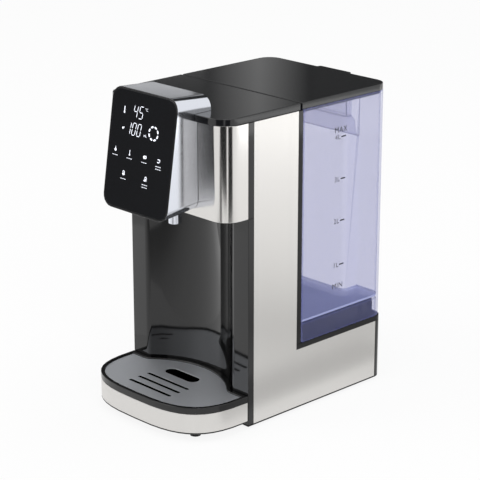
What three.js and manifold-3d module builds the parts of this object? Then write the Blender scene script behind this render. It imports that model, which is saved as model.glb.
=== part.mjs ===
import * as THREE from 'three';
import Module from 'manifold-3d';
import { mergeVertices } from 'three/addons/utils/BufferGeometryUtils.js';

// Instant hot water dispenser, in millimetres, +Z up, front towards -Y.
// Heights count from the table. Depths count back from the cover's front edge, and the
// last lines shift the whole object so that its origin is the middle of its footprint.

// Overall sizes
const width = 183;
const coverTop = 342;
const trayReach = 44.5;
const bodyDepth = 246.6;

// Fits, walls and steps shared by the pieces
const gap = 0.3;
const overrun = 6;
const weld = 0.0001;
const lap = 0.001;
const moulding = 2.4;
const steelSheet = 1;
const cornerSteps = 5;
const roundSides = 16;
const hoseSides = 8;
const hoseSteps = 12;

// Levels of the housing
const baseLift = 3;
const steelBottom = 4.6;
const windowSill = 70.6;
const frameWidth = 6;
const ceilingDrop = 108.7;
const ceilingBottom = coverTop - ceilingDrop;
const coverDepth = 7.7;
const coverUnder = coverTop - coverDepth;

// Depth stations of the housing
const panelSetback = 4.5;
const stripFront = 35.6;
const stripWidth = 7.9;
const windowFront = 107.7;
const rearCurve = 12.7;
const sideRear = bodyDepth - rearCurve;
const seamStep = 3;
const seamBack = windowFront + seamStep;
const seamHalf = 0.5;
const bodyFrontRadius = 20;
const baseRearRadius = rearCurve - gap * 2;

// Cup recess of the lower column
const recessRadius = 94;
const recessDepth = 28;
const columnFillet = 9;
const recessSteps = 12;
const filletSteps = 3;
const columnWall = 3;

const half = width / 2;
const inner = half - steelSheet - gap;
const stripRear = stripFront + stripWidth;
const wallBack = windowFront - gap;

// Solids from geometry, and back
const wasm = await Module();
wasm.setup();

function toSolid(geometry) {
  const bare = geometry.clone();
  bare.deleteAttribute('normal');
  bare.deleteAttribute('uv');
  const merged = mergeVertices(bare, weld);
  const mesh = new wasm.Mesh({
    numProp: 3,
    vertProperties: new Float32Array(merged.attributes.position.array),
    triVerts: new Uint32Array(merged.index.array),
  });
  return new wasm.Manifold(mesh);
}

function toGeometry(solid) {
  const mesh = solid.getMesh();
  const geometry = new THREE.BufferGeometry();
  geometry.setAttribute('position', new THREE.BufferAttribute(mesh.vertProperties, 3));
  geometry.setIndex(new THREE.BufferAttribute(mesh.triVerts, 1));
  return geometry;
}

function join(first, ...others) {
  return toGeometry(others.reduce((sum, piece) => sum.add(toSolid(piece)), toSolid(first)));
}

function cut(first, ...cutters) {
  return toGeometry(cutters.reduce((rest, tool) => rest.subtract(toSolid(tool)), toSolid(first)));
}

function overlap(first, second) {
  return toGeometry(toSolid(first).intersect(toSolid(second)));
}

// Outlines: each corner is [x, y, radius], walked in order
function outline(corners) {
  const points = [];
  corners.forEach(([x, y, radius], index) => {
    const here = new THREE.Vector2(x, y);
    const before = new THREE.Vector2(...corners.at(index - 1).slice(0, 2)).sub(here).normalize();
    const after = new THREE.Vector2(...corners[(index + 1) % corners.length].slice(0, 2));
    after.sub(here).normalize();
    if (!(radius > 0)) {
      points.push(here);
      return;
    }
    const halfTurn = Math.acos(THREE.MathUtils.clamp(before.dot(after), -1, 1)) / 2;
    const centre = before.clone().add(after).normalize();
    centre.multiplyScalar(radius / Math.sin(halfTurn)).add(here);
    const start = before.multiplyScalar(radius / Math.tan(halfTurn)).add(here).sub(centre);
    const end = after.multiplyScalar(radius / Math.tan(halfTurn)).add(here).sub(centre);
    const turn = Math.atan2(start.cross(end), start.dot(end));
    for (let step = 0; step <= cornerSteps; step += 1) {
      const spot = start.clone().rotateAround(new THREE.Vector2(), turn * step / cornerSteps);
      points.push(spot.add(centre));
    }
  });
  return points.filter((point, index) => point.distanceTo(points.at(index - 1)) > weld);
}

function shapeOf(points, ...holes) {
  const shape = new THREE.Shape(points);
  shape.holes = holes.map((hole) => new THREE.Path(hole));
  return shape;
}

function slab(shape, bottom, top) {
  const geometry = new THREE.ExtrudeGeometry(shape, { depth: top - bottom, bevelEnabled: false });
  return geometry.translate(0, 0, bottom);
}

// A (depth, height) outline pushed out along X
function plank(shape, left, right) {
  const axes = new THREE.Matrix4();
  axes.makeBasis(
    new THREE.Vector3(0, 1, 0), new THREE.Vector3(0, 0, 1), new THREE.Vector3(1, 0, 0));
  const geometry = new THREE.ExtrudeGeometry(shape, { depth: right - left, bevelEnabled: false });
  return geometry.applyMatrix4(axes).translate(left, 0, 0);
}

function block(left, right, front, back, bottom, top) {
  const geometry = new THREE.BoxGeometry(right - left, back - front, top - bottom);
  return geometry.translate((left + right) / 2, (front + back) / 2, (bottom + top) / 2);
}

// A turned piece on an upright axis; the profile is a closed loop of [radius, height]
function turned(x, y, profile, sides = roundSides) {
  const points = profile.map(([radius, height]) => new THREE.Vector2(radius, height));
  if (THREE.ShapeUtils.area(points) < 0) points.reverse();
  const open = points[0].x === 0 && points.at(-1).x === 0;
  if (!open) points.push(points[0].clone());
  return new THREE.LatheGeometry(points, sides).rotateX(Math.PI / 2).translate(x, y, 0);
}

function disc(x, y, radius, bottom, top, sides = roundSides) {
  return turned(x, y, [[0, bottom], [radius, bottom], [radius, top], [0, top]], sides);
}

function ring(x, y, bore, radius, bottom, top, sides = roundSides) {
  return turned(x, y, [[bore, bottom], [radius, bottom], [radius, top], [bore, top]], sides);
}

// The same, lying along Y or along X
function alongY(geometry, x, y, z) {
  return geometry.rotateX(-Math.PI / 2).translate(x, y, z);
}

function alongX(geometry, x, y, z) {
  return geometry.rotateY(Math.PI / 2).translate(x, y, z);
}

const group = new THREE.Group();
const finishes = {
  matteBlack: { color: 0x303134, roughness: 0.6, metalness: 0 },
  glossBlack: { color: 0x121315, roughness: 0.12, metalness: 0 },
  brushedSteel: { color: 0xc9c6c2, roughness: 0.32, metalness: 1 },
  chrome: { color: 0xd8dade, roughness: 0.06, metalness: 1 },
  darkGlass: { color: 0x15171c, roughness: 0.05, metalness: 0 },
  clearLilac: { color: 0xb9bbdd, roughness: 0.08, metalness: 0, transparent: true, opacity: 0.4 },
  rubber: { color: 0x1c1c1d, roughness: 0.85, metalness: 0 },
  silicone: { color: 0xe2e0da, roughness: 0.55, metalness: 0 },
  board: { color: 0x1f5a3a, roughness: 0.5, metalness: 0 },
  motorSteel: { color: 0x9a9b9d, roughness: 0.4, metalness: 1 },
  ivory: { color: 0xd9d5c8, roughness: 0.5, metalness: 0 },
};

function place(name, geometry, finish) {
  const material = new THREE.MeshStandardMaterial(finishes[finish]);
  const mesh = new THREE.Mesh(geometry, material);
  mesh.name = name;
  group.add(mesh);
}

// Cup recess: the line from right to left, moved back by offset
const cupAxis = stripFront + recessDepth - recessRadius;

function recessLine(offset) {
  const filletY = stripFront + columnFillet;
  const filletX = Math.sqrt((recessRadius + columnFillet) ** 2 - (filletY - cupAxis) ** 2);
  const meet = Math.atan2(filletY - cupAxis, filletX);
  const turn = Math.PI / 2 - meet;
  const right = [];
  for (let step = 0; step <= filletSteps; step += 1) {
    const angle = -Math.PI / 2 - turn * step / filletSteps;
    right.push(new THREE.Vector2(
      filletX + (columnFillet - offset) * Math.cos(angle),
      filletY + (columnFillet - offset) * Math.sin(angle)));
  }
  const middle = [];
  for (let step = 1; step < recessSteps; step += 1) {
    const angle = meet + (Math.PI - 2 * meet) * step / recessSteps;
    middle.push(new THREE.Vector2(
      (recessRadius + offset) * Math.cos(angle),
      cupAxis + (recessRadius + offset) * Math.sin(angle)));
  }
  const left = right.map((point) => new THREE.Vector2(-point.x, point.y)).reverse();
  return [...right, ...middle, ...left];
}

function corner(x, y) {
  return new THREE.Vector2(x, y);
}

// Base pan with the shelf that carries the drip tray
const panTop = 6;
const panFloor = steelBottom - gap;
const shelfHalf = 54;
const shelfReach = 23.6;
const shelfStep = 2.6;
const shelfFront = stripFront - shelfReach;
const shelfBack = stripFront - shelfStep;
const shelfRibWidth = 3;
const shelfRibXs = [-48, 0, 48];
const trayLift = 8.3;
const footRadius = 9;
const footInset = 24;
const footFromFront = 26;
const footStem = 2.6;
const panRim = inner - moulding - gap;
const footSpots = [
  ['front_left', -half + footInset, stripFront + footFromFront],
  ['front_right', half - footInset, stripFront + footFromFront],
  ['rear_left', -half + footInset, bodyDepth - footFromFront],
  ['rear_right', half - footInset, bodyDepth - footFromFront],
];

function panOutline(side, frontOffset, back, radius) {
  const rear = outline([
    [-side, stripFront + frontOffset, 0], [-side, back, radius], [side, back, radius],
    [side, stripFront + frontOffset, 0],
  ]);
  return shapeOf([...rear, ...recessLine(frontOffset)]);
}

function basePan() {
  const lower = slab(panOutline(half, 0, bodyDepth, baseRearRadius), baseLift, panFloor);
  const rearWall = moulding + gap;
  const upper = slab(
    panOutline(panRim, columnWall + gap, bodyDepth - rearWall, baseRearRadius - rearWall),
    panFloor - weld, panTop);
  const shelf = block(
    -shelfHalf, shelfHalf, shelfFront, stripFront + recessDepth + moulding, baseLift, panFloor);
  const ribs = shelfRibXs.map((x) => block(
    x - shelfRibWidth / 2, x + shelfRibWidth / 2, shelfFront, shelfBack, panFloor - weld,
    trayLift - gap));
  const holes = footSpots.map(
    ([, x, y]) => disc(x, y, footStem + gap, baseLift - overrun, panTop + overrun));
  return cut(join(lower, upper, shelf, ...ribs), ...holes);
}

place('base_pan', basePan(), 'matteBlack');
for (const [name, x, y] of footSpots) {
  const profile = [
    [0, 0], [footRadius - gap, 0], [footRadius, gap], [footRadius, baseLift - gap],
    [footStem, baseLift - gap], [footStem, panTop], [0, panTop],
  ];
  place(`foot_${name}`, turned(x, y, profile), 'rubber');
}

// Steel side panels, L-shaped round the tank window
function sidePanel(left, right) {
  const top = coverUnder - gap;
  const points = [
    [stripRear, steelBottom], [sideRear, steelBottom], [sideRear, windowSill],
    [windowFront, windowSill], [windowFront, top], [stripRear, top],
  ].map(([y, z]) => corner(y, z));
  return plank(shapeOf(points), left, right);
}

place('side_panel_left', sidePanel(-half, -half + steelSheet), 'brushedSteel');
place('side_panel_right', sidePanel(half - steelSheet, half), 'brushedSteel');

// Lower column: edge strips, cheeks and the cup recess, with side walls behind the steel
function frontColumn() {
  const inside = inner - moulding;
  const back = stripFront + columnWall;
  const points = [
    corner(half, stripRear - gap), corner(half, stripFront), ...recessLine(0),
    corner(-half, stripFront), corner(-half, stripRear - gap), corner(-inner, stripRear - gap),
    corner(-inner, wallBack), corner(-inside, wallBack), corner(-inside, back),
    ...recessLine(columnWall).reverse(),
    corner(inside, back), corner(inside, wallBack), corner(inner, wallBack),
    corner(inner, stripRear - gap),
  ];
  return slab(shapeOf(points), steelBottom, ceilingBottom - gap);
}

place('front_column', frontColumn(), 'glossBlack');

// Upper front: a steel wrap over a black housing whose floor is the ceiling of the cup space
const panelSheet = 0.8;
const housingFloor = 2.4;
const floorReach = 6;
const floorBack = stripFront + recessDepth + floorReach;
const neckHalf = 30;
const neckLift = 28.7;
const neckHeight = 60;
const neckBottom = ceilingBottom + neckLift;
const neckTop = neckBottom + neckHeight;
const nozzleSetback = 12.5;
const nozzleY = panelSetback + nozzleSetback;
const holderRadius = 8;

function wrapCorners(side, front, radius, back) {
  return [[side, back, 0], [side, front, radius], [-side, front, radius], [-side, back, 0]];
}

function frontPanel() {
  const back = stripFront - gap;
  const outer = wrapCorners(half, panelSetback, bodyFrontRadius, back);
  const inside = wrapCorners(
    half - panelSheet, panelSetback + panelSheet, bodyFrontRadius - panelSheet, back);
  const wrap = slab(
    shapeOf(outline([...outer, ...inside.reverse()])), ceilingBottom, coverUnder - gap);
  const neck = block(
    -neckHalf, neckHalf, panelSetback - overrun, panelSetback + overrun, neckBottom, neckTop);
  return cut(wrap, neck);
}

function upperHousing() {
  const inset = panelSheet + gap;
  const front = panelSetback + inset;
  const radius = bodyFrontRadius - inset;
  const side = half - inset;
  const inside = inner - moulding;
  const rear = stripRear - gap;
  const walls = shapeOf(outline([
    [half, rear, 0], [half, stripFront, 0], [side, stripFront, 0], [side, front, radius],
    [-side, front, radius], [-side, stripFront, 0], [-half, stripFront, 0], [-half, rear, 0],
    [-inner, rear, 0], [-inner, wallBack, 0], [-inside, wallBack, 0],
    [-inside, front + moulding, radius - moulding], [inside, front + moulding, radius - moulding],
    [inside, wallBack, 0], [inner, wallBack, 0], [inner, rear, 0],
  ]));
  const floor = shapeOf(outline([
    [inside + gap, floorBack, 0], [inside + gap, front + gap, radius],
    [-inside - gap, front + gap, radius], [-inside - gap, floorBack, 0],
  ]));
  const shell = join(
    slab(walls, ceilingBottom, coverUnder - gap),
    slab(floor, ceilingBottom, ceilingBottom + housingFloor));
  const neck = block(
    -neckHalf, neckHalf, front - overrun, front + overrun, neckBottom, neckTop);
  const nozzleHole = disc(
    0, nozzleY, holderRadius + gap, ceilingBottom - overrun, ceilingBottom + housingFloor + overrun);
  return cut(shell, neck, nozzleHole);
}

place('front_panel', frontPanel(), 'brushedSteel');
place('upper_housing', upperHousing(), 'glossBlack');

// Head sleeve: a rounded tube that leans with the glass and narrows towards the back
const headHalf = 50;
const headReach = 39.5;
const headLift = 1.2;
const headRise = 19;
const headBottom = ceilingBottom + headLift;
const headHeight = coverTop + headRise - headBottom;
const headTilt = THREE.MathUtils.degToRad(8.6);
const headRadius = 13;
const headBack = 23;
const headBackLift = 7;
const headNarrowing = 11;
const headBackBottom = headBottom + headBackLift;
const headBackTop = headBackBottom + headHeight - headNarrowing;
const sleeveWall = 1.3;

function headLoft(inset, stretch) {
  const across = headHalf - inset;
  const points = outline([
    [-across, inset, headRadius - inset], [across, inset, headRadius - inset],
    [across, headHeight - inset, headRadius - inset],
    [-across, headHeight - inset, headRadius - inset],
  ]);
  const slope = (headBackTop - headBackBottom) / headHeight;
  const front = points.map(({ x, y }) => new THREE.Vector3(
    x, Math.sin(headTilt) * y - headReach, headBottom + Math.cos(headTilt) * y));
  const back = points.map(({ x, y }) => new THREE.Vector3(
    x, headBack, headBackBottom + slope * y));
  const rings = [front, back].map((near, index) => {
    const far = index === 0 ? back : front;
    return near.map((point, spot) => point.clone().lerp(far[spot], -stretch));
  });
  const count = points.length;
  const faces = THREE.ShapeUtils.triangulateShape(points, []);
  const indices = [];
  faces.forEach(([a, b, c]) => indices.push(a, b, c, count + a, count + c, count + b));
  for (let spot = 0; spot < count; spot += 1) {
    const next = (spot + 1) % count;
    indices.push(spot, count + spot, next, next, count + spot, count + next);
  }
  const geometry = new THREE.BufferGeometry();
  const positions = rings.flat().flatMap((point) => point.toArray());
  geometry.setAttribute('position', new THREE.Float32BufferAttribute(positions, 3));
  geometry.setIndex(indices);
  return geometry;
}

const sleeveFront = panelSetback - gap;
const stretchShare = 0.1;

function sleeve() {
  const behind = block(
    -half, half, sleeveFront, headBack + overrun, headBottom - overrun, coverUnder);
  return cut(headLoft(0, 0), headLoft(sleeveWall, stretchShare), behind);
}

// A block parallel to the glass: heights along it, and two depths behind its front
function headBlock(left, right, bottom, top, near, far) {
  const frame = new THREE.Matrix4().makeRotationX(Math.PI / 2 - headTilt);
  frame.setPosition(0, -headReach, headBottom);
  return block(left, right, bottom, top, -far, -near).applyMatrix4(frame);
}

function headSlice(near, far) {
  const slice = headBlock(-half, half, -overrun, headHeight + overrun, near, far);
  return overlap(headLoft(sleeveWall + gap, stretchShare), slice);
}

const glassSink = 0.2;
const glassThickness = 3;
const carrierDepth = 9;
const carrierFace = 2.4;
const pocketInset = 5;
const pocketBottom = 12;
const boardThickness = 1.6;
const lensHalf = 30;
const lensHeight = 50;
const lensInset = 14.5;
const lensTop = headHeight - lensInset;
const lensBottom = lensTop - lensHeight;
const carrierNear = glassSink + glassThickness + gap;

function headCarrier() {
  const pocketHalf = headHalf - pocketInset;
  const top = headHeight - pocketInset * 2;
  const plate = headSlice(carrierNear, carrierNear + carrierDepth);
  const pocket = headBlock(
    -pocketHalf, pocketHalf, pocketBottom, top,
    carrierNear + carrierFace, carrierNear + carrierDepth + overrun);
  const lens = headBlock(
    -lensHalf, lensHalf, lensBottom, lensTop, carrierNear - overrun,
    carrierNear + carrierDepth + overrun);
  return cut(plate, pocket, lens);
}

function displayBoard() {
  const across = headHalf - pocketInset - gap;
  const near = carrierNear + carrierFace + gap;
  return headBlock(
    -across, across, pocketBottom + gap, headHeight - pocketInset * 2 - gap,
    near, near + boardThickness);
}

// Two arms hold the carrier to the upper housing through the neck opening
const armHalf = 5;
const armInset = 14;
const armLift = 8;
const armHeight = 30;
const armBottom = neckBottom + armLift;
const armTop = armBottom + armHeight;
const plugDepth = 2.4;

function headArm(side) {
  const x = side * (neckHalf - armInset);
  const near = carrierNear + carrierFace + gap + boardThickness + gap;
  const arm = block(
    x - armHalf, x + armHalf, -headReach, panelSetback + panelSheet + gap + moulding + plugDepth,
    armBottom, armTop);
  const ahead = headBlock(-half, half, -headHeight, headHeight * 2, -headReach, near);
  const pad = block(
    Math.min(x, side * (neckHalf + armInset)), Math.max(x, side * (neckHalf + armInset)),
    panelSetback + panelSheet + gap + moulding + gap,
    panelSetback + panelSheet + gap + moulding + plugDepth, armBottom, armTop);
  return join(cut(arm, ahead), pad);
}

function rearCap() {
  const thick = block(
    -half, half, headBack - moulding, headBack - gap, coverUnder + gap, coverTop + headHeight);
  return overlap(headLoft(sleeveWall + gap, 0), thick);
}

place('head_sleeve', sleeve(), 'chrome');
place('touch_glass', headSlice(glassSink, glassSink + glassThickness), 'darkGlass');
place('head_carrier', headCarrier(), 'matteBlack');
place('display_board', displayBoard(), 'board');
place('head_arm_left', headArm(-1), 'matteBlack');
place('head_arm_right', headArm(1), 'matteBlack');
place('head_rear_cap', rearCap(), 'matteBlack');

// Front top cover, notched round the head
const coverSkin = 2.4;
const coverRadius = 23;

function frontCover() {
  const back = seamBack - seamHalf;
  const shell = slab(
    shapeOf(outline(wrapCorners(half, 0, coverRadius, back))), coverUnder, coverTop);
  const hollow = slab(
    shapeOf(outline(wrapCorners(
      half - moulding, moulding, coverRadius - moulding, back - moulding))),
    coverUnder - overrun, coverTop - coverSkin);
  const notch = block(
    -headHalf - gap, headHalf + gap, -overrun, headBack + gap, coverUnder - overrun,
    coverTop + overrun);
  return cut(shell, hollow, notch);
}

place('front_cover', frontCover(), 'matteBlack');

// Partition behind the front compartment; its side edges are the window's black uprights
const partitionWall = 3;
const tankFront = windowFront + frameWidth + gap * 3;
const deckTop = windowSill + gap + frameWidth - gap;
const frontEdge = windowFront + gap;

function partition() {
  const back = tankFront - gap;
  const wall = block(
    -half, half, frontEdge, frontEdge + partitionWall, deckTop + gap, coverUnder - gap);
  const edges = [-1, 1].map((side) => block(
    Math.min(side * half, side * (half - partitionWall)),
    Math.max(side * half, side * (half - partitionWall)),
    frontEdge, back, deckTop + gap, coverUnder - gap));
  return join(wall, ...edges);
}

place('partition_wall', partition(), 'matteBlack');

// Tank deck with its pedestal, ribs and side walls down to the base pan
const channelHalf = 51;
const channelDepth = 23.1;
const channelFront = bodyDepth - channelDepth;
const channelRadius = 4;
const tankInset = 0.6;
const tankBack = bodyDepth - tankInset;
const tankRearRadius = 14;
const tankFrontRadius = 3;
const tankWall = 2.4;
const tankFloorLift = 28.4;
const tankFloorTop = windowSill + tankFloorLift;
const tankBottom = deckTop + gap;
const tankFloorUnder = tankFloorTop - tankWall;
const pedestalInset = 4.5;
const pedestalSink = 2.6;
const pedestalTop = tankFloorUnder - pedestalSink;
const ribWidth = 2;
const ribReach = 3.2;
const ribShares = [0.17, 0.77, 0.885];
const socketShare = 0.463;
const socketY = THREE.MathUtils.lerp(tankFront, channelFront, socketShare);
const socketRadius = 12.7;

function tankCorners(inset) {
  const rear = tankRearRadius - inset;
  const front = Math.max(tankFrontRadius - inset, 0);
  const side = half - inset;
  const channel = channelHalf + inset;
  return [
    [-side, tankFront + inset, front], [side, tankFront + inset, front],
    [side, tankBack - inset, rear], [channel, tankBack - inset, 0],
    [channel, channelFront - inset, channelRadius + inset],
    [-channel, channelFront - inset, channelRadius + inset],
    [-channel, tankBack - inset, 0], [-side, tankBack - inset, rear],
  ];
}

function tankOutline(inset) {
  return outline(tankCorners(inset));
}

function tankDeck() {
  const under = windowSill + gap;
  const plateOutline = outline([
    [-half, frontEdge, 0], [half, frontEdge, 0], [half, bodyDepth, baseRearRadius],
    [-half, bodyDepth, baseRearRadius],
  ]);
  const plate = slab(shapeOf(plateOutline), under, deckTop);
  const pedestalPoints = tankOutline(tankWall + pedestalInset);
  const pedestal = slab(shapeOf(pedestalPoints), deckTop - weld, pedestalTop);
  const hollowPoints = tankOutline(tankWall + pedestalInset + moulding);
  const hollow = slab(shapeOf(hollowPoints), under - overrun, pedestalTop - moulding);
  const ribSide = half - tankWall - pedestalInset;
  const ribs = [];
  for (const share of ribShares) {
    const y = THREE.MathUtils.lerp(tankFront, tankBack, share);
    for (const side of [-1, 1]) {
      ribs.push(block(
        Math.min(side * (ribSide - weld), side * (ribSide + ribReach)),
        Math.max(side * (ribSide - weld), side * (ribSide + ribReach)),
        y - ribWidth / 2, y + ribWidth / 2, deckTop - weld, pedestalTop));
    }
  }
  const walls = [-1, 1].map((side) => block(
    Math.min(side * inner, side * (inner - moulding)),
    Math.max(side * inner, side * (inner - moulding)),
    frontEdge, sideRear, steelBottom, under + weld));
  const socketHole = disc(0, socketY, socketRadius + gap, under - overrun, pedestalTop + overrun);
  return cut(join(plate, pedestal, ...ribs, ...walls), hollow, socketHole);
}

place('tank_deck', tankDeck(), 'matteBlack');

// Rounded rear panel of the base, with the mains gland
const glandInset = 33.5;
const glandX = glandInset - half;
const glandZ = 24;
const glandRadius = 6;
const glandFlange = 9;
const glandBore = 3.6;
const glandSeat = 1.3;
const glandStem = 6;

function rearPanel() {
  const front = sideRear + gap;
  const outer = outline([
    [half, front, 0], [half, bodyDepth, baseRearRadius], [-half, bodyDepth, baseRearRadius],
    [-half, front, 0], [-half + moulding, front, 0],
    [-half + moulding, bodyDepth - moulding, baseRearRadius - moulding],
    [half - moulding, bodyDepth - moulding, baseRearRadius - moulding],
    [half - moulding, front, 0],
  ]);
  const wall = slab(shapeOf(outer), steelBottom, windowSill);
  const hole = alongY(
    disc(0, 0, glandRadius + gap, -overrun, overrun), glandX, bodyDepth - moulding / 2, glandZ);
  const seat = alongY(
    disc(0, 0, glandFlange + gap, 0, overrun), glandX, bodyDepth - glandSeat, glandZ);
  return cut(wall, hole, seat);
}

function gland() {
  const face = moulding - glandSeat + gap;
  return alongY(turned(0, 0, [
    [glandBore, -glandStem], [glandRadius, -glandStem], [glandRadius, face],
    [glandFlange, face], [glandFlange, moulding - gap], [glandBore, moulding - gap],
  ]), glandX, bodyDepth - moulding, glandZ);
}

place('rear_base_panel', rearPanel(), 'matteBlack');
place('mains_gland', gland(), 'rubber');

// Inlet socket in the pedestal, with the pin that opens the tank valve
const socketRim = 2.8;
const socketFlange = socketRadius + socketRim;
const socketLip = 1.5;
const socketWall = 1.7;
const socketBore = socketRadius - socketWall;
const valveDrop = 15;
const valveTip = tankFloorTop - valveDrop;
const socketSump = 6;
const socketFloor = valveTip - socketSump;
const socketBase = 2.2;
const spigotRadius = 4;
const spigotBore = 2.5;
const spigotDrop = 14;
const pinRadius = 1.4;
const pinSink = 1.6;
const pinTop = valveTip - pinSink;
const webHalf = 1;

function inletSocket() {
  const lip = pedestalTop + gap;
  const cup = turned(0, socketY, [
    [spigotBore, socketFloor], [socketBore, socketFloor], [socketBore, lip + socketLip],
    [socketFlange, lip + socketLip], [socketFlange, lip], [socketRadius, lip],
    [socketRadius, socketFloor - socketBase], [spigotRadius, socketFloor - socketBase],
    [spigotRadius, socketFloor - spigotDrop], [spigotBore, socketFloor - spigotDrop],
  ]);
  const bridge = block(
    -spigotRadius, spigotRadius, socketY - webHalf, socketY + webHalf,
    socketFloor - socketBase, socketFloor);
  const pin = disc(0, socketY, pinRadius, socketFloor - socketBase, pinTop);
  return join(cup, bridge, pin);
}

const stemFit = 2.3;
const valveStem = socketBore - stemFit;
const sealLift = 2;
const sealBottom = valveTip + sealLift;
const sealHeight = 3;

place('inlet_socket', inletSocket(), 'ivory');
place('inlet_seal', ring(
  0, socketY, valveStem + gap, socketBore - gap, sealBottom, sealBottom + sealHeight), 'silicone');

// Water tank: one clear shell with a skirt round the pedestal and a rear channel. A grip
// bar closes the channel at the top, with a finger pocket between it and the channel's face.
const tankTop = coverUnder;
const gripHeight = 34.3;
const gripDepth = 13;
const gripFront = tankBack - gripDepth;
const gripDrop = 25;
const gripLip = 3;
const pocketStep = 1;
const gripCurveShares = [[0.53, 0.24], [0.75, 0.66], [1, 1]];

function gripBar() {
  const bottom = tankTop - gripHeight;
  const back = tankBack - tankWall / 2;
  const side = channelHalf + lap;
  const bridge = cut(
    block(-side, side, channelFront - lap, back, bottom, tankTop),
    block(
      -channelHalf + pocketStep, channelHalf - pocketStep, channelFront + pocketStep,
      gripFront, bottom - overrun, tankTop + overrun));
  const curve = gripCurveShares.map(([along, down]) => corner(
    THREE.MathUtils.lerp(gripFront, back - gripLip, along), bottom - gripDrop * down));
  const skirt = plank(shapeOf([
    corner(gripFront, bottom + lap), ...curve, corner(back, bottom - gripDrop),
    corner(back, bottom + lap),
  ]), -side, side);
  return [bridge, skirt];
}

function waterTank() {
  const shell = slab(shapeOf(tankOutline(0)), tankBottom, tankTop);
  const inside = slab(shapeOf(tankOutline(tankWall)), tankFloorTop, tankTop + overrun);
  const skirt = slab(shapeOf(tankOutline(tankWall)), tankBottom - overrun, tankFloorUnder);
  const hole = disc(0, socketY, valveStem + gap, tankFloorUnder - overrun, tankFloorTop + overrun);
  return join(cut(shell, inside, skirt, hole), ...gripBar());
}

place('water_tank', waterTank(), 'clearLilac');

// Tank valve: body, plunger, spring, and the filter cap that holds the spring
const valveRim = 3.3;
const valveFlange = valveStem + valveRim;
const valveLip = 2;
const valveWall = 2.1;
const valveBore = valveStem - valveWall;
const valveSeatLift = 5;
const valveSeatUnder = valveTip + valveSeatLift;
const valveSeatThickness = 3;
const valveSeatTop = valveSeatUnder + valveSeatThickness;
const valveSeatWidth = 2.4;
const valveSeatBore = valveBore - valveSeatWidth;
const plungerFit = 0.7;
const plungerHead = valveBore - plungerFit;
const plungerDisc = 2;
const plungerShaft = 1.8;
const plungerGuide = 2.4;
const plungerTip = pinTop + gap;
const sealInset = 0.5;
const sealRadius = plungerHead - sealInset;
const valveSealHeight = 1;
const springTurns = 5;
const springInset = 3;
const springRadius = valveBore - springInset;
const springWire = 0.5;
const springSides = 5;
const springStepsPerTurn = 8;
const capRim = 1.8;
const capRadius = valveStem + capRim;
const capWall = 1.2;
const capHeight = 13;
const capTop = tankFloorTop + capHeight;
const capSlotWidth = 3;
const capRoof = 3;
const capSlotTop = capTop - capRoof;

function valveBody() {
  const lip = tankFloorTop + gap;
  return turned(0, socketY, [
    [valveBore, lip + valveLip], [valveFlange, lip + valveLip], [valveFlange, lip],
    [valveStem, lip], [valveStem, valveTip], [valveBore, valveTip],
    [valveBore, valveSeatUnder], [valveSeatBore, valveSeatUnder],
    [valveSeatBore, valveSeatTop], [valveBore, valveSeatTop],
  ]);
}

function plunger() {
  const bottom = valveSeatTop + gap + valveSealHeight + gap;
  return turned(0, socketY, [
    [0, plungerTip], [plungerShaft, plungerTip], [plungerShaft, bottom], [plungerHead, bottom],
    [plungerHead, bottom + plungerDisc], [plungerGuide, bottom + plungerDisc],
    [plungerGuide, bottom + plungerDisc * 2], [0, bottom + plungerDisc * 2],
  ]);
}

const springBottom = valveSeatTop + gap * 3 + valveSealHeight + plungerDisc + springWire;
const springTop = capTop - capWall - gap - springWire;

function valveSpring() {
  class Helix extends THREE.Curve {
    getPoint(share) {
      const angle = share * springTurns * Math.PI * 2;
      return new THREE.Vector3(
        springRadius * Math.cos(angle), socketY + springRadius * Math.sin(angle),
        THREE.MathUtils.lerp(springBottom, springTop, share));
    }
  }
  const section = [];
  for (let side = 0; side < springSides; side += 1) {
    const angle = side * Math.PI * 2 / springSides;
    section.push(corner(springWire * Math.cos(angle), springWire * Math.sin(angle)));
  }
  return new THREE.ExtrudeGeometry(shapeOf(section), {
    steps: springTurns * springStepsPerTurn, extrudePath: new Helix(), bevelEnabled: false,
  });
}

function filterCap() {
  const bottom = tankFloorTop + gap + valveLip + gap;
  const cap = turned(0, socketY, [
    [0, capTop], [capRadius, capTop], [capRadius, bottom], [capRadius - capWall, bottom],
    [capRadius - capWall, capTop - capWall], [0, capTop - capWall],
  ]);
  const slotBottom = bottom + capWall;
  const slots = [
    block(
      -capSlotWidth / 2, capSlotWidth / 2, socketY - capRadius - overrun,
      socketY + capRadius + overrun, slotBottom, capSlotTop),
    block(
      -capRadius - overrun, capRadius + overrun, socketY - capSlotWidth / 2,
      socketY + capSlotWidth / 2, slotBottom, capSlotTop),
  ];
  return cut(cap, ...slots);
}

place('valve_body', valveBody(), 'ivory');
place('valve_plunger', plunger(), 'ivory');
place('valve_seal', ring(
  0, socketY, plungerShaft + gap, sealRadius, valveSeatTop + gap,
  valveSeatTop + gap + valveSealHeight), 'silicone');
place('valve_spring', valveSpring(), 'motorSteel');
place('filter_cap', filterCap(), 'ivory');

// Tank lid with its inner skirt and rear finger lip
const lidOverhang = 0.7;
const lidBack = bodyDepth + lidOverhang;
const lidRadius = 17;
const lidSkirtDrop = 4;
const lidSkirt = 1.6;
const lidFit = 0.4;
const lipShift = 8;
const lipHalf = 24;
const lipReach = 4.7;
const lipRadius = 3;
const lipHeight = 4.5;

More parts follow.
